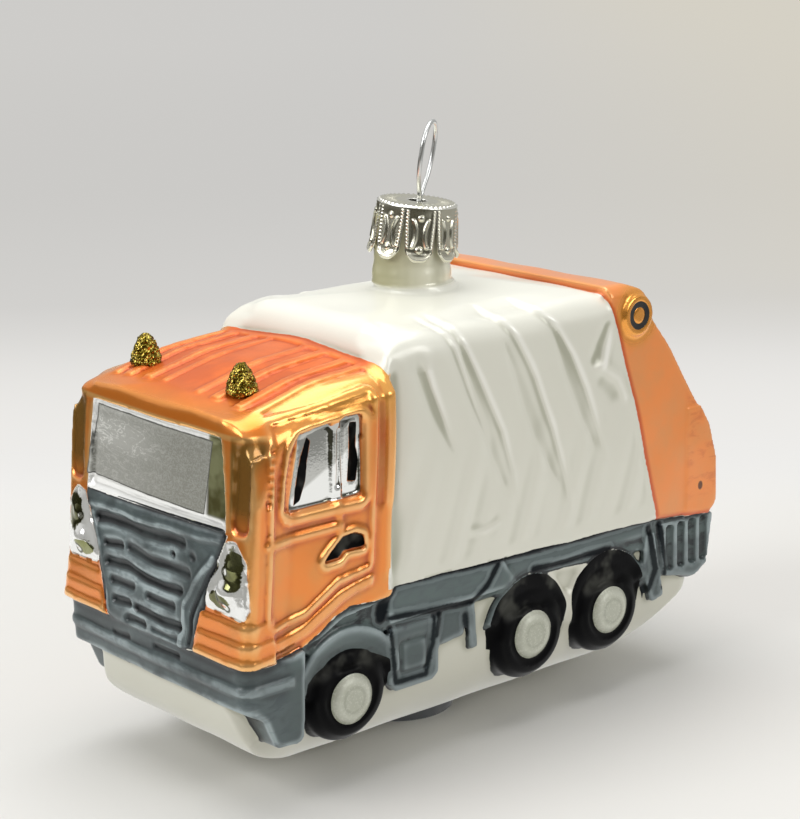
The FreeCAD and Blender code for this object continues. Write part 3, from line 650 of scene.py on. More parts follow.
def markPaints(obj, p, reach=0.0016):  # how far inside its own lacquer each point lies, mm
    gaps = lacquerGaps(points(obj), reach)
    x, y, z = points(obj).T * 1000
    limit, far = reach * 1000, 9

    def within(outline, u=x):
        return np.clip(polygonGap(u, z, outline), -limit, far)

    flankY, frontX = p["flanks"]
    front, side = np.where(x > frontX, 0, far), np.where(np.abs(y) > flankY, 0, far)
    for key, u, off in (("front", y, front), ("side", x, side)):
        for paint, outline in p[key]:
            gaps[paint] = np.minimum(gaps[paint], within(outline, u) + off)
    hubs, tyres = wheelGaps(x, z, p)
    between = within(p["between"])
    gaps["pearl"] = np.minimum(gaps["pearl"], np.maximum(between, 0.3 - tyres) + side)
    onWheel = (side == 0) & (np.abs(x) < 45) & (z < 30)
    gaps["black"] = np.where(onWheel, np.maximum(tyres, p["hub"] - hubs), gaps["black"])
    gaps["glitter"] = np.where(onWheel, hubs - p["hub"], gaps["glitter"])
    heelX, lean, leanTop, leanHigh = p["heel"]
    heel = heelX + lean * ramp(leanTop - z, 0, leanHigh)
    cabFoot = np.maximum(gaps["orange"], np.clip(heel - x, -limit, far))
    atHeel = (side == 0) & (x > 12) & (x < 30) & (z < 49)
    gaps["orange"] = np.where(atHeel, cabFoot, gaps["orange"])
    behind = np.minimum(gaps["pearl"], np.maximum(x - heel, 0))
    gaps["pearl"] = np.where(atHeel & (z > 32), behind, gaps["pearl"])
    radius, lowest, clear, wider = p["arch"]
    arch = onWheel & (hubs < radius) & (z > lowest) & (between > clear)
    gaps["pearl"] = np.where(arch, gaps["pearl"] + wider, gaps["pearl"])
    wash = np.min([lineGap(x, z, line) - half for line, half in p["wash"]], axis=0)
    addField(obj, "hubGap", hubs)
    addField(obj, "wash", np.clip(wash, -1, 6) + side)
    addField(obj, "frost", np.where(x > frontX, -polygonGap(y, z, p["frost"]), -far))
    onDoor = (side == 0) & (x < frontX) & (z > 30)
    laidOver = {"grey": (("black", "glitter"), arch), "orange": (("silver", "black"), onDoor)}
    for paint, gap in gaps.items():
        others = {other: g for other, g in gaps.items() if other != paint}
        field = np.min(list(others.values()), axis=0) - gap
        if paint in laidOver:  # it runs on under these paints
            over, where = laidOver[paint]
            own = np.min([gap] + [others.pop(other) for other in over], axis=0)
            rest = np.min(list(others.values()), axis=0)
            field = np.where(where, np.maximum(field, np.minimum(rest - own, limit)), field)
        addField(obj, paint, field)


def partZones(obj, prefix="zone."):
    tree, owner = nodeTree(painted)
    obj.data.materials.clear()
    for name in painted:
        obj.data.materials.append(bpy.data.materials.new(prefix + name))
    zone = [owner[tree.find_nearest(poly.center)[2]] for poly in obj.data.polygons]
    obj.data.polygons.foreach_set("material_index", np.array(zone, np.int32))
    obj.data.normals_split_custom_set(readRows(obj.data.corner_normals, "vector").tolist())
    editMesh(obj, lambda: bpy.ops.mesh.separate(type="MATERIAL"))
    parts = {}
    for part in bpy.context.selected_objects:
        if part.type == "MESH" and part.data.polygons:
            own = part.data.materials[part.data.polygons[0].material_index]
            parts[own.name.removeprefix(prefix)] = part
    return parts


skin.data.shade_smooth()
markRelief(skin, glass["reliefRounds"], "relief")
markRelief(skin, glass["swellRounds"], "swell")
markPaints(skin, brushwork)
print("lacquer zones marked")
zones = partZones(skin)
print("glass pieces:", len(zones), "largest", max(len(o.data.polygons) * 2 for o in zones.values()))


lacquers = {  # colour, painted highlight on ridges, painted shade in hollows, roughness, metallic, coat, loose edge
    "pearl": ((0.73, 0.72, 0.63), (0.88, 0.87, 0.8), (0.47, 0.47, 0.37), 0.36, 0.1, 0.3, 0.5),
    "orange": ((0.9, 0.27, 0.045), (1, 0.6, 0.27), (0.5, 0.075, 0.01), 0.22, 0.66, 0.5, 0.5),
    # the grey's hollow colour is black wash and painted shade together
    "grey": ((0.084, 0.11, 0.112), (0.33, 0.39, 0.4), (0.008, 0.01, 0.012), 0.36, 0.1, 0.12, 1),
    "silver": ((0.9, 0.9, 0.88), (0.95, 0.95, 0.93), (0.12, 0.12, 0.08), 0.04, 1, 0.3, 0.2),
    "frost": ((0.41, 0.41, 0.375), (0.62, 0.62, 0.58), (0.26, 0.26, 0.23), 0.42, 0.45, 0.1, 0.35),
    "black": ((0.0015, 0.0015, 0.002), (0.008, 0.008, 0.008), (0.001, 0.001, 0.001), 0.46, 0.9, 0,
              0.5),
    "glitter": ((0.46, 0.47, 0.39), (0.6, 0.61, 0.52), (0.26, 0.27, 0.2), 0.45, 0.25, 0.1, 0.35),
}


def blend(low, high, mask):
    return low + (high - low) * mask


class Glass(Finish):  # the blown glass, with what all its lacquers go by
    def __init__(self, name):
        super().__init__(name, Coat_Roughness=0.06, Specular_IOR_Level=0.5)
        self.x, self.y, self.z = self.axis("X"), self.axis("Y"), self.axis("Z")
        self.aside = self.y.math("ABSOLUTE")
        self.relief, self.swell = self.field("relief"), self.field("swell")
        # ridges and hollows of the relief, where highlights and shade are painted
        self.onRidge = self.relief.step(0.01, 0.15)
        self.inHollow = (0 - self.relief).step(0, 0.12)
        self.deep = (0 - self.relief).step(0.1, 0.26)
        self.cloud = self.noise(130, 3)
        self.brush = self.noise(240, 4, 0.6, (1.0, 1.0, 2.4), 0.6)


def distance(u, v):
    return (u * u + v * v).math("SQRT")


# silvered panes and lamps: places in metres in the truck's frame, here and for the other lacquers
silverMarks = {
    # the windscreen's silver is made nearly matt and near white, a painted bright reflection; the dark
    # olive at its right end is a painted dark reflection; the side panes' darker grey upper part is a
    # painted reflection
    "mirror": (0.92, 0.92, 0.9), "side": (0.42, 0.42, 0.39),
    "darkEnd": ((0.34, 0.35, 0.19), (0.12, 0.11, 0.04)),
    # olive patches on the lamps, and where they lie: painted reflections
    "olive": ((0.13, 0.13, 0.045), (0.3, 0.31, 0.14)),
    "lampGlass": [(0.0219, 0.0417, 0.0021, 0.0036), (0.019, 0.0362, 0.0028, 0.0014)],
    "bulbs": [(0.0202, 0.0411, 0.0008), (0.0205, 0.0355, 0.0009)],
    "socket": (0.07, 0.07, 0.03), "bulb": (0.9, 0.9, 0.86),
}


def silverCoat(g, m, shade, rough, metal, coat):
    onScreen = g.x.step(0.0465, 0.0485) * g.z.step(0.0455, 0.0462)
    darkEnd = onScreen * g.y.step(0.0132, 0.0142) * g.z.step(0.0478, 0.0488)
    onLamp = g.x.step(0.0435, 0.0455) * g.z.below(0.0452, 0.0462)
    onPane = g.x.below(0.0435, 0.045) * (g.z + g.x * 0.5).step(0.0724, 0.0732)
    olive = 0
    for middleY, middleZ, halfY, halfZ in m["lampGlass"]:
        u, v = (g.aside - middleY) / halfY, (g.z - middleZ) / halfZ
        olive = (u * u + v * v + (g.brush - 0.5) * 2.2).below(0.75, 1).math("MAXIMUM", olive)
    # painted reflections over the silver: bright on the windscreen, dark at its right end, olive on the
    # lamps
    shade = g.over(shade, m, mirror=onScreen - darkEnd, darkEnd=(darkEnd, g.cloud.step(0.4, 0.6)),
                   olive=(onLamp * olive, g.cloud.step(0.45, 0.6)))
    for middleY, middleZ, size in m["bulbs"]:
        bulb = distance(g.aside - middleY, g.z - middleZ)
        shade = g.over(shade, m, socket=onLamp * bulb.below(size * 0.9, size * 1.3),
                       bulb=onLamp * bulb.below(size * 0.5, size * 0.8))
    metal = blend(blend(metal, 0.3, onScreen - darkEnd), 0.6, onLamp)
    metal = blend(blend(metal, 0.95, onLamp * olive), 0.55, darkEnd)
    # the side panes' upper part darker grey: a painted reflection
    return g.over(shade, m, side=onPane * 0.75), blend(rough, 0.14, onScreen), metal, coat


orangeMarks = {
    # the sunk colour is painted shade in broad hollows, the raised colour a painted highlight on swells
    "dull": (0.66, 0.33, 0.09), "sunk": (0.36, 0.15, 0.03), "raised": (1, 0.46, 0.1),
    # the two gold lines on the roof's front lip are painted highlights
    "lip": (0.92, 0.235, 0.022), "lipCrest": (1, 0.48, 0.1), "lipLine": (1, 0.66, 0.25),
    "roofFrom": (0.059, 0.066), "roof": ((0.8, 0.15, 0.016), (0.66, 0.105, 0.012)),
    # painted shade in the roof's grooves, painted highlights on its ridges and along the eaves
    "roofHollow": (0.48, 0.07, 0.008), "roofRidge": (1, 0.4, 0.08), "eave": (1, 0.47, 0.1),
    # the dark olive-brown in the recess beside the windscreen is a painted dark reflection
    "bayWide": (0.0195, 0.025), "bayHigh": (0.0465, 0.0625), "bay": (0.22, 0.125, 0.022),
    "tailFrom": -0.0285, "tail": ((0.92, 0.29, 0.066), (0.82, 0.31, 0.095)),
    "blotch": (0.66, 0.14, 0.035), "tailEdge": (0.62, 0.085, 0.012),
    "pivot": (-0.03395, 0.0682, 0.0035, 0.0068), "boss": (0.98, 0.42, 0.06),
    "hole": (-0.0509, 0.034, 0.00095), "inHole": (0.05, 0.015, 0.004),
}


def orangeCoat(g, m, shade, rough, metal, coat):
    flank = g.aside.step(0.0178, 0.0212)
    onRoof = g.z.step(*m["roofFrom"]) * (g.x + 0.0245).step(0, 0.004)
    onRoof = onRoof * blend(1, g.z.step(0.063, 0.0668), g.x.step(0.044, 0.0475))
    onEave = onRoof * flank * (0.0525 - g.x).step(0, 0.004)
    onRoof = onRoof * (1 - flank)
    onLip = g.z.step(0.0604, 0.0618) * g.x.step(0.0465, 0.049)
    nearY, farY = m["bayWide"]
    lowZ, highZ = m["bayHigh"]
    inBay = g.aside.step(nearY, nearY + 0.0008) * (farY - g.aside).step(0, 0.0008)
    inBay = inBay * g.z.step(lowZ, lowZ + 0.005) * (highZ - g.z).step(0, 0.002) * g.x.step(0.047, 0.049)
    onTail = (0 - g.x).step(0 - m["tailFrom"] - 0.003, 0 - m["tailFrom"])
    # darker blotches: painted shade of lumps on the tailgate's side
    blotch = g.brush.step(0.46, 0.66) * (-0.0465 - g.x).step(0, 0.002) * g.z.step(0.03, 0.036) * flank
    pivotX, pivotZ, near, far = m["pivot"]
    onBoss = distance(g.x - pivotX, g.z - pivotZ).below(near, far)
    edge = g.field("orange").below(0.25, 1.2) * onTail
    holeX, holeZ, size = m["hole"]
    hole = distance((g.x - holeX) * 1.3784, g.z - holeZ)
    shade = g.over(
        # painted shade in broad hollows and painted highlight on swells
        shade, m, dull=g.cloud.step(0.42, 0.72) * 0.45, sunk=(0 - g.swell).step(0.05, 0.4) * 0.6,
        raised=g.swell.step(0.05, 0.35) * 0.35, lip=onLip * 0.6,
        # painted highlights along the lip
        lipCrest=onLip * g.z.near(0.0648, 0.0014) * 0.25,
        lipLine=onLip * g.z.near(0.0616, 0.0007) * 0.6,
        # painted shade in the roof's grooves, painted highlights on its ridges and eaves
        roof=(onRoof * 0.9, g.cloud.step(0.4, 0.65)), roofHollow=onRoof * g.inHollow * 0.7,
        # painted dark reflection in the recess beside the windscreen
        roofRidge=onRoof * g.onRidge * 0.45, eave=onEave * (1 - g.inHollow), bay=inBay * 0.85,
        tail=(onTail * 0.92, g.cloud.step(0.35, 0.75)),
        blotch=blotch * 0.5 * (0.064 - g.z).step(0, 0.006), boss=onBoss * 0.8, tailEdge=edge * 0.9,
        inHole=hole.below(size * 0.7, size) * 0.9)
    metal = blend(blend(blend(metal, 0.22, onTail), 0.75, onBoss), 0.4, onRoof)
    rough = blend(blend(rough, 0.4, onRoof), 0.32, onTail * (1 - onBoss))
    return shade, rough, metal, blend(coat, 0.06, (onRoof + onLip).math("MINIMUM", 1))


pearlMarks = {
    # painted shade in broad hollows, the top painted lighter as lit from above, painted shade darkening
    # the belly towards its bottom
    "sunk": (0.42, 0.42, 0.33), "top": (0.84, 0.835, 0.75), "foot": (0.5, 0.49, 0.4),
    # the neck darker on one side and lighter on the other, with upright streaks: painted reflections
    "neckFoot": (0.0752, 0.076), "neckSides": ((0.44, 0.42, 0.26), (0.82, 0.8, 0.66)),
    "streak": (0.4, 0.39, 0.26),
}


def pearlCoat(g, m, shade, rough, metal, coat):
    onNeck = g.z.step(*m["neckFoot"])
    # painted reflections on the neck: a dark to light sweep across it and upright streaks
    streak = g.noise(190, 2, 0.5, (1.0, 1.0, 0.12)).step(0.42, 0.6)
    neck = g.mix(g.along(studio["across"]).step(-0.004, 0.007), *m["neckSides"])
    neck = g.over(neck, m, streak=streak * 0.5)
    # painted shade in hollows and at the belly's bottom, painted light on the top
    shade = g.over(shade, {**m, "neck": neck}, sunk=(0 - g.swell).step(0.02, 0.34) * 0.55,
                   top=g.z.step(0.067, 0.0735) * 0.8, neck=onNeck, foot=g.z.below(0.008, 0.032) * 0.75)
    return shade, blend(rough, 0.22, onNeck), metal, coat


greyMarks = {  # black wash lies along the upper edge; the hollows hold black wash and painted shade together; the pale lines beside the wash are painted highlights, and the pale ridges are wear and painted highlights together
    "brushed": (0.048, 0.064, 0.07), "upper": (0.018, 0.022, 0.026), "teal": (0.105, 0.145, 0.138),
    "tide": (0.22, 0.28, 0.28), "wash": (0.006, 0.008, 0.01), "deep": (0.004, 0.005, 0.006),
    "foot": (0.03, 0.038, 0.04), "front": (0.032, 0.042, 0.043), "rim": (0.005, 0.006, 0.008),
}


def greyCoat(g, m, shade, rough, metal, coat):
    _, ridge, hollow = lacquers["grey"][:3]
    inside = g.field("grey")
    front = g.x.step(0.044, 0.048)
    flank = 1 - front
    wash = g.field("wash") + (g.brush - 0.5) * 0.9
    washed = wash.below(0, 0.55)
    teal = wash.step(0.8, 2.2) * flank * g.brush.step(0.35, 0.6)
    # pale ridges: wear and painted highlights together
    worn = g.onRidge * g.brush.step(0.3, 0.58) * inside.step(0.35, 0.9) * blend(0.85, 0.3, front)
    shade = g.over(
        shade, {**m, "sunk": hollow, "worn": ridge}, brushed=g.brush.step(0.45, 0.62) * 0.6,
        # the hollows: black wash and painted shade; the pale lines beside the wash: painted highlights
        sunk=(0 - g.swell).step(0.0, 0.22) * 0.9, upper=inside.below(0.45, 1.7) * 0.8,
        teal=teal * 0.7, tide=wash.near(0.85, 0.45) * flank * 0.35, worn=worn, wash=washed * 0.96,
        deep=g.deep * 0.9, foot=flank * g.z.below(0.0235, 0.025) * 0.35,
        front=front * g.cloud.step(0.42, 0.6) * 0.6, rim=inside.below(0.24, 0.52) * 0.95)
    return shade, rough, blend(metal, 0.92, washed.math("MAXIMUM", g.deep)), coat * (1 - washed)


# pale blotches on the tyres' tops are painted highlights
blackMarks = {"tyreTop": (0.0185, 0.0225), "dust": (0.075, 0.075, 0.065)}


def blackCoat(g, m, shade, *rest):
    # painted highlights on the tyres' tops
    return g.over(shade, m, dust=g.cloud.step(0.5, 0.66) * g.z.step(*m["tyreTop"]) * 0.8), *rest


glitterMarks = {"ring": (0.26, 0.26, 0.2), "dull": (0.34, 0.35, 0.27), "spark": (0.75, 0.75, 0.68)}


def glitterCoat(g, m, shade, *rest):
    return g.over(shade, m, ring=g.field("hubGap").near(2.1, 0.35) * 0.3,
                  dull=g.cloud.step(0.45, 0.7) * 0.4,
                  spark=g.speckle(4200).step(0.6, 1) * 0.25), *rest


frostMarks = {
    # the lighter band over the upper left, which also brightens the veins there, is a painted
    # highlight; the darkening towards the right side is painted shade
    "vein": (0.86, 0.86, 0.82), "band": (0.9, 0.9, 0.86), "dark": (0.22, 0.22, 0.18),
    "spark": (0.62, 0.62, 0.6), "rim": (0.03, 0.03, 0.025),
}


def frostCoat(g, m, shade, *rest):
    vein = (g.noise(330, 4, 0.62, (0.7, 0.55, 1.6), 1.2) - 0.5).math("ABSOLUTE")
    band = g.z.near(0.0563, 0.0034) * (0.004 - g.y).step(0, 0.01)
    # painted highlight across the upper left, painted shade towards the right
    return g.over(shade, m, vein=vein.below(0, 0.035) * (0.3 + 0.65 * band), band=band * 0.25,
                  dark=g.y.step(-0.014, 0.01) * 0.55, spark=g.speckle(4200).step(0.3, 1) * 0.25,
                  rim=g.field("frost").below(0.1, 0.3) * 0.8), *rest


coats = {  # from the lowest lacquer to the last one
    "pearl": (pearlCoat, pearlMarks), "orange": (orangeCoat, orangeMarks),
    "grey": (greyCoat, greyMarks), "silver": (silverCoat, silverMarks),
    "frost": (frostCoat, frostMarks), "black": (blackCoat, blackMarks),
    "glitter": (glitterCoat, glitterMarks),
}


def glassFinish(name):
    g = Glass(name)
    wobble = (g.noise(420, 2) - 0.5) * 0.9
    laid = None
    for paint, (coating, marks) in coats.items():
        colour, ridge, hollow, rough, metal, coat, loose = lacquers[paint]
        # painted highlight on ridges and painted shade in hollows for every lacquer
        sunk = g.deep if paint in ("silver", "frost") else g.inHollow
        shade = g.mix(g.onRidge, g.mix(sunk, colour, hollow), ridge)
        shade, *values = coating(g, marks, shade, rough, metal, coat)
        if laid:
            mask = (g.field(paint) + wobble * loose).step(-0.07, 0.07)
            shade = g.mix(mask, laid[0], shade)
            values = [blend(low, high, mask) for low, high in zip(laid[1], values)]
        laid = shade, values
    shade, (rough, metal, coat) = laid
    bump = g.node("Bump", {"Strength": 0.1, "Distance": 0.0003,
                           "Height": g.cloud * 0.6 + g.noise(2600, 2) * 0.4})
    return g.put(Base_Color=shade, Roughness=rough, Metallic=metal, Coat_Weight=coat,
                 Normal=bump).material


def plainFinish(name, shades, rough):  # for the small parts that keep their CAD shape
    f = Finish(name)
    return f.put(Base_Color=f.mix(f.noise(150, 3).step(0.35, 0.7), *shades),
                 Roughness=rough + f.noise(500, 3) * 0.2).material


def wear(piece, material):
    piece.data.materials.clear()
    piece.data.materials.append(material)


def dress(piece, node, body, material):
    wear(piece, material)
    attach(piece, body)
    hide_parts(node)


finishes = {paint: glassFinish("lacquer." + paint) for paint in paints}
for name, part in zones.items():
    part.name = name + "_skin"
    paint = next(key for key, names in paints.items() if name in names)
    dress(part, name, "ornament", finishes[paint])
ringBlack = plainFinish("ringBlack", ((0.008, 0.008, 0.008), (0.03, 0.03, 0.028)), 0.35)
for name in nodes:
    if name.startswith("pivot") or (name in painted and name not in zones):
        wear(nodes[name], ringBlack)
wear(nodes["rest_disc"],
     plainFinish("darkDisc", ((0.045, 0.048, 0.052), (0.085, 0.088, 0.09)), 0.45))


def sheet(name, across, along, shape):  # a grid laid over a shape given by (u, v), in mm
    pick(floor)
    bpy.ops.mesh.primitive_grid_add(x_subdivisions=across, y_subdivisions=along, size=2)
    made = bpy.context.object
    made.name = name
    u, v, _ = points(made).T
    setPoints(made, np.stack(shape((u + 1) / 2, (v + 1) / 2), 1) / 1000)
    made.data.shade_smooth()
    return editMesh(made, lambda: bpy.ops.mesh.remove_doubles(threshold=2e-6),
                    bpy.ops.mesh.normals_make_consistent)


# how the fittings sit on the neck: lid above its rim and hinge below the lid, in metres
seat = {"lid": 0.0016, "hinge": 0.0048, "heading": math.radians(139.2)}


def leaning(obj, turn, lean, p):  # set upon the neck, leaning towards the heading
    top = Vector((*middleOf("neck")[:2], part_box("neck")[1][2] + p["lid"]))
    axis = Vector((0, 0, 1)).cross(Vector((math.cos(p["heading"]), math.sin(p["heading"]), 0)))
    hinge = Matrix.Translation((0, 0, -p["hinge"]))
    place = Matrix.Translation(top) @ hinge @ Matrix.Rotation(lean, 4, axis) @ hinge.inverted()
    obj.data.transform(place @ Matrix.Rotation(turn, 4, "Z"))
    return obj


# pressed metal cap: eight petals with brackets, beads and a rolled tip; mm
cap = {
    "hole": 1.7, "shoulder": 6.9, "flare": 0.75, "height": 9.5, "sheet": 0.0003,
    "lean": math.radians(6), "petals": 8, "turn": math.radians(10.8),
    "tip": (1.9, 3.4),  # how far the tip's corners are cut back, and their roundness
    "slit": [(0, 0.02), (2.6, 0.1), (6.6, 0.42), (8.2, 0.62), (9.6, 0.95)],  # depth, half gap
    "bracket": (0.72, 0.72, 4.5, 2.7, 0.27),  # nearest x, bow, middle, half length, half width
    "beads": [(1.75, 0.3, 1), (7.3, 0.42, 1.1)],  # depth, radius squared, rise
    "row": (0.42, 0.2, 0.62, 0.6),  # small beads: from the slit, half width, pitch, rise
    "rim": (0.55, 0.32, 1.1),  # from the tip, half width, rise
    "panel": (0.75, 0.35),  # sunk from here inwards, depth
    "drop": (0.32, 0.965),  # how the petals fall away from the lid
    "emboss": 0.32,
}


def crownCap(p):
    def petal(turn):
        def shape(u, v):
            s = 2 * u - 1
            cut, roundness = p["tip"]
            tip = p["height"] - cut * np.abs(s) ** roundness
            w = v * tip
            r = p["shoulder"] + p["flare"] * (w / p["height"]) ** 1.15
            half = math.pi / p["petals"] * r - np.interp(w, *np.array(p["slit"]).T)
            a = s * half
            nearest, bow, middle, length, width = p["bracket"]
            b = (w - middle) / length
            relief = hill(np.abs(a) - nearest - bow * b ** 2, width) * ramp(1 - np.abs(b), 0, 0.15)
            for at, area, rise in p["beads"]:
                relief += rise * np.sqrt(np.clip(1 - (a ** 2 + (w - at) ** 2) / area, 0, 1))
            inset, width, pitch, rise = p["row"]
            row = hill(np.abs(a) - half + inset, width) * ramp(w, 0.3, 0.7) * ramp(7.6 - w, 0, 0.5)
            relief += rise * row * (0.55 + 0.45 * np.cos(w * 2 * math.pi / pitch))
            inset, width, rise = p["rim"]
            relief += rise * hill(tip - w - inset, width) * ramp(0.9 - np.abs(s), 0, 0.15)
            inset, depth = p["panel"]
            relief -= (depth * ramp(half - inset - np.abs(a), 0, 0.25) * ramp(w, 0.1, 2.2)
                       * ramp(8.2 - w, 0, 0.5))
            out = r + p["emboss"] * relief
            angle = turn + a / r
            fall, slope = p["drop"]
            return out * np.cos(angle), out * np.sin(angle), -fall - w * slope
        return shape

    def lid(u, v):
        angle = 2 * math.pi * u
        r = p["hole"] + (p["shoulder"] - p["hole"]) * v
        fall = p["drop"][0] * ramp(v, 0.9, 1) + 0.1 * v ** 2
        beads = 0.2 * hill(v - 0.93, 0.045) * (0.5 + 0.5 * np.cos(46 * angle))
        rib = 0.07 * ramp(v, 0.3, 0.5) * ramp(0.84 - v, 0, 0.1) * np.cos(24 * angle)
        return r * np.cos(angle), r * np.sin(angle), beads + rib - fall

    pieces = [sheet("lid", 288, 26, lid)]
    for index in range(p["petals"]):
        turn = 2 * math.pi * index / p["petals"] + p["turn"]
        pieces.append(sheet("petal", 54, 78, petal(turn)))
    pick(*pieces)
    bpy.ops.object.join()
    made = bpy.context.object
    made.name = "crown_cap_pressed"
    editMesh(made, bpy.ops.mesh.normals_make_consistent)
    modify(made, "SOLIDIFY", thickness=p["sheet"], offset=-1)
    return leaning(made, 0, p["lean"], seat)


def capFinish():
    f = Finish("capMetal", Metallic=1.0)
    relief = f.field("relief")
    # painted dark reflection and shade in the recesses, painted highlight on the raised embossing
    tone = f.mix((0 - relief).step(0.01, 0.1), (0.7, 0.68, 0.56), (0.17, 0.155, 0.07))
    return f.put(Base_Color=f.mix(relief.step(0.02, 0.09), tone, (0.92, 0.91, 0.85)),
                 Roughness=0.2 + f.noise(900, 2) * 0.08).material


pressedCap = crownCap(cap)
markRelief(pressedCap, 14, "relief")
dress(pressedCap, "crown_cap", "cap", capFinish())
print("cap pressed,", len(pressedCap.data.polygons) * 2, "triangles")


# wire hanger: one looped spring wire, its points as it was bent; mm
hanger = {
    "path": [(-3.3, -9.6), (-3.8, -7.2), (-3.6, -3.4), (-0.62, -1), (-0.62, 1), (-4.1, 5.4),
             (-4.1, 13.6), (4.1, 13.6), (4.1, 5.4), (0.62, 1), (0.62, -1), (3.6, -3.4),
             (3.8, -7.2), (3.3, -9.6)],
    "bends": [0, 1.5, 1.2, 0.7, 1.4, 8, 4.09, 4.09, 8, 1.4, 0.7, 1.2, 1.5, 0],
    "wire": 0.78, "tip": 0.3, "turn": math.radians(34), "lean": math.radians(10),
}


def roundedPath(stops, bends, steps=16):
    stops = [complex(*stop) for stop in stops]
    path = stops[:1]
    for before, corner, after, bend in zip(stops, stops[1:], stops[2:], bends[1:]):
        ahead = (corner - before) / abs(corner - before)
        turn = np.angle((after - corner) / ahead)
        spoke = -1j * ahead * np.copysign(bend, turn)  # from the middle of the bend
        middle = corner - ahead * bend * np.tan(abs(turn) / 2) - spoke
        path += [middle + spoke * np.exp(1j * turn * step / steps) for step in range(steps + 1)]
    return np.array([(stop.real, stop.imag) for stop in path + stops[-1:]])


def wireHanger(p, reach=0.02):
    path = roundedPath(p["path"], p["bends"])
    run = runAlong(path)

    def tube(u, v):
        at = v * run[-1]
        spot = [np.interp(at, run, path[:, k]) for k in (0, 1)]
        ahead = [np.interp(at + reach, run, path[:, k]) - np.interp(at - reach, run, path[:, k])
                 for k in (0, 1)]
        size = np.hypot(*ahead)
        tip = np.minimum(np.minimum(at, run[-1] - at), p["tip"]) / p["tip"]  # rounded ends
        radius = p["wire"] / 2 * np.sqrt(np.clip(1 - (1 - tip) ** 2, 0, 1))
        c, s = radius * np.cos(2 * math.pi * u), radius * np.sin(2 * math.pi * u)
        return spot[0] - ahead[1] / size * c, s, spot[1] + ahead[0] / size * c

    return leaning(sheet("wire_hanger_bent", 20, 420, tube), p["turn"], p["lean"], seat)


def wireFinish():
    f = Finish("steelWire", Metallic=1.0, Base_Color=(0.74, 0.75, 0.74))
    return f.put(Roughness=0.27 + f.noise(300, 2) * 0.1).material


dress(wireHanger(hanger), "wire_hanger", "hanger", wireFinish())
print("hanger bent")


# beacons: rounded cones built up from coarse grains of gold glitter; mm
beacon = {
    "grain": 0.5, "rough": 0.34, "spread": 1.16, "rise": 0.3, "sink": 0.35,
    "taper": (0.66, 1.2, 6),  # narrowing, its power, bluntness of the ends
}


def glitterBeacon(name, p):
    low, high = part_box(name)
    base = (high[0] - low[0]) / 2 * 1000 * p["spread"]
    height = (high[2] - low[2]) * 1000 + p["rise"]
    pick(floor)
    bpy.ops.mesh.primitive_ico_sphere_add(subdivisions=6, radius=1)
    made = bpy.context.object
    made.name = name + "_glitter"
    co = points(made)
    t = (co[:, 2] + 1) / 2
    flat = np.hypot(co[:, 0], co[:, 1]) + 1e-9
    narrow, power, blunt = p["taper"]
    radius = base * (1 - narrow * t ** power) * np.sqrt(np.clip(1 - (2 * t - 1) ** blunt, 0, 1))
    shaped = np.stack((co[:, 0] / flat * radius, co[:, 1] / flat * radius,
                       t * (height - p["sink"])), 1)
    shift = []
    for spot in shaped:
        near, spots = noise.voronoi(Vector(spot) / p["grain"])
        toss = abs(noise.cell(spots[0] * 7.3))
        shift.append(p["rough"] * (0.5 - near[0] * 0.9 + 0.7 * toss - 0.25))
    out = shaped - (0, 0, height * 0.35)
    out /= np.linalg.norm(out, axis=1)[:, None]
    shaped += out * np.array(shift)[:, None]
    setPoints(made, shaped / 1000 + (*middleOf(name)[:2], low[2]))
    return made


def goldFinish():
    f = Finish("goldGlitter", Metallic=1.0, Roughness=0.22)
    grain = f.speckle(2400).step(0.45, 0.95)
    return f.put(Base_Color=f.mix(grain, (0.13, 0.095, 0.01), (0.6, 0.46, 0.1))).material


gold = goldFinish()
for name in ("beacon_left", "beacon_right"):
    dress(glitterBeacon(name, beacon), name, "ornament", gold)
print("beacons sprinkled")


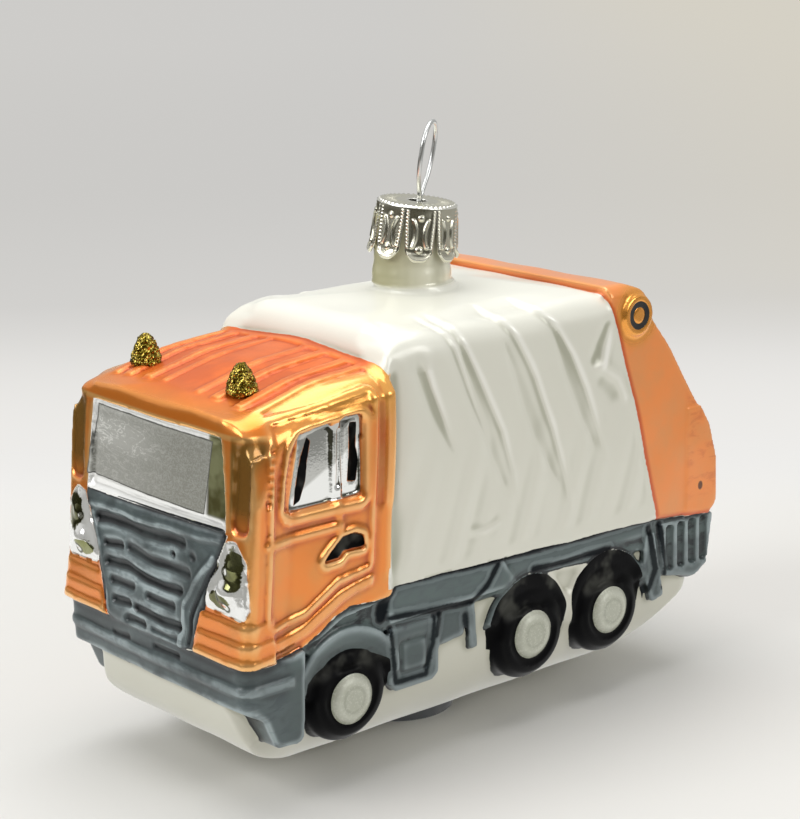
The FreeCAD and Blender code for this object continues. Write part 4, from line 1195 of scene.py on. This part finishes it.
table = {  # what the floor shows to the lens and to polished glass
    "pale": (0.665, 0.658, 0.636),
    "tint": (0.985, 0.955),  # green and blue of the sweep for each part of red
    "warm": (0.7, 0.655, 0.54),
    "lit": (0.9, 0.9, 0.88),
    "reach": (0.175, 0.215),  # the lit table ends this far to the sides, seen in the glass
    "front": (0.2, 0.26),
    "room": (0.06, 0.058, 0.04),  # on the camera's left, dark
    "wall": (0.4, 0.4, 0.385),  # on its right, a dim wall
    "hand": (0.1, 0.17),  # between these distances the sweep takes over
}


def floorFinish(p):
    f = Finish("studioFloor", Roughness=0.9, Specular_IOR_Level=0.1, Base_Color=p["pale"])
    behind = f.along(studio["away"])
    across = f.along(studio["across"])
    longest = studio["sweep"][-1][0]
    green, blue = p["tint"]
    stops = [(at / longest, (level, level * green, level * blue)) for at, level in studio["sweep"]]
    stops[0] = (stops[0][0], (studio["sweep"][0][1],) * 3)
    sweep = f.node("ValToRGB", {0: behind / longest}, stops=stops)
    warm = across.step(-0.05, 0.3) * behind.step(0.24, 0.42) * 0.6
    toLens = f.node("Emission", {0: f.mix(warm, sweep, p["warm"]), 1: 1.0})
    rays = f.nodes.new("ShaderNodeLightPath")
    camera, glossy = (Sock(f, rays.outputs["Is " + kind + " Ray"]) for kind in ("Camera", "Glossy"))
    seen = f.mix(across.step(*p["reach"]), p["lit"], p["wall"])
    for inRoom in ((0 - across).step(*p["reach"]), (0 - behind).step(*p["front"])):
        seen = f.mix(inRoom, seen, p["room"])
    toGlass = f.node("Emission", {0: seen, 1: 1.0})
    surface = Sock(f, f.shader.outputs[0])
    first = f.node("MixShader", {0: camera * behind.step(*p["hand"]), 1: surface, 2: toLens})
    last = f.node("MixShader", {0: glossy, 1: first, 2: toGlass})
    f.links.new(last.socket, f.nodes["Material Output"].inputs["Surface"])
    return f.material


def makeWorld():
    world = bpy.data.worlds.new("studioWorld")
    scene.world = world
    f = Finish("studioWorld", world)
    where = f.node("TexCoord", output=0)
    up, away = f.axis("Z", where), f.along(studio["away"], where)
    room = f.mix(away.step(-0.35, 0.45), (0.1, 0.095, 0.085), (0.8, 0.8, 0.785))
    background = f.nodes["Background"].inputs
    f.give(background["Color"], f.mix(up.step(0.1, 0.6), room, (0.92, 0.92, 0.9)))
    f.give(background["Strength"], 0.62)


wear(floor, floorFinish(table))
makeWorld()
print("studio finished")

print("finishing")
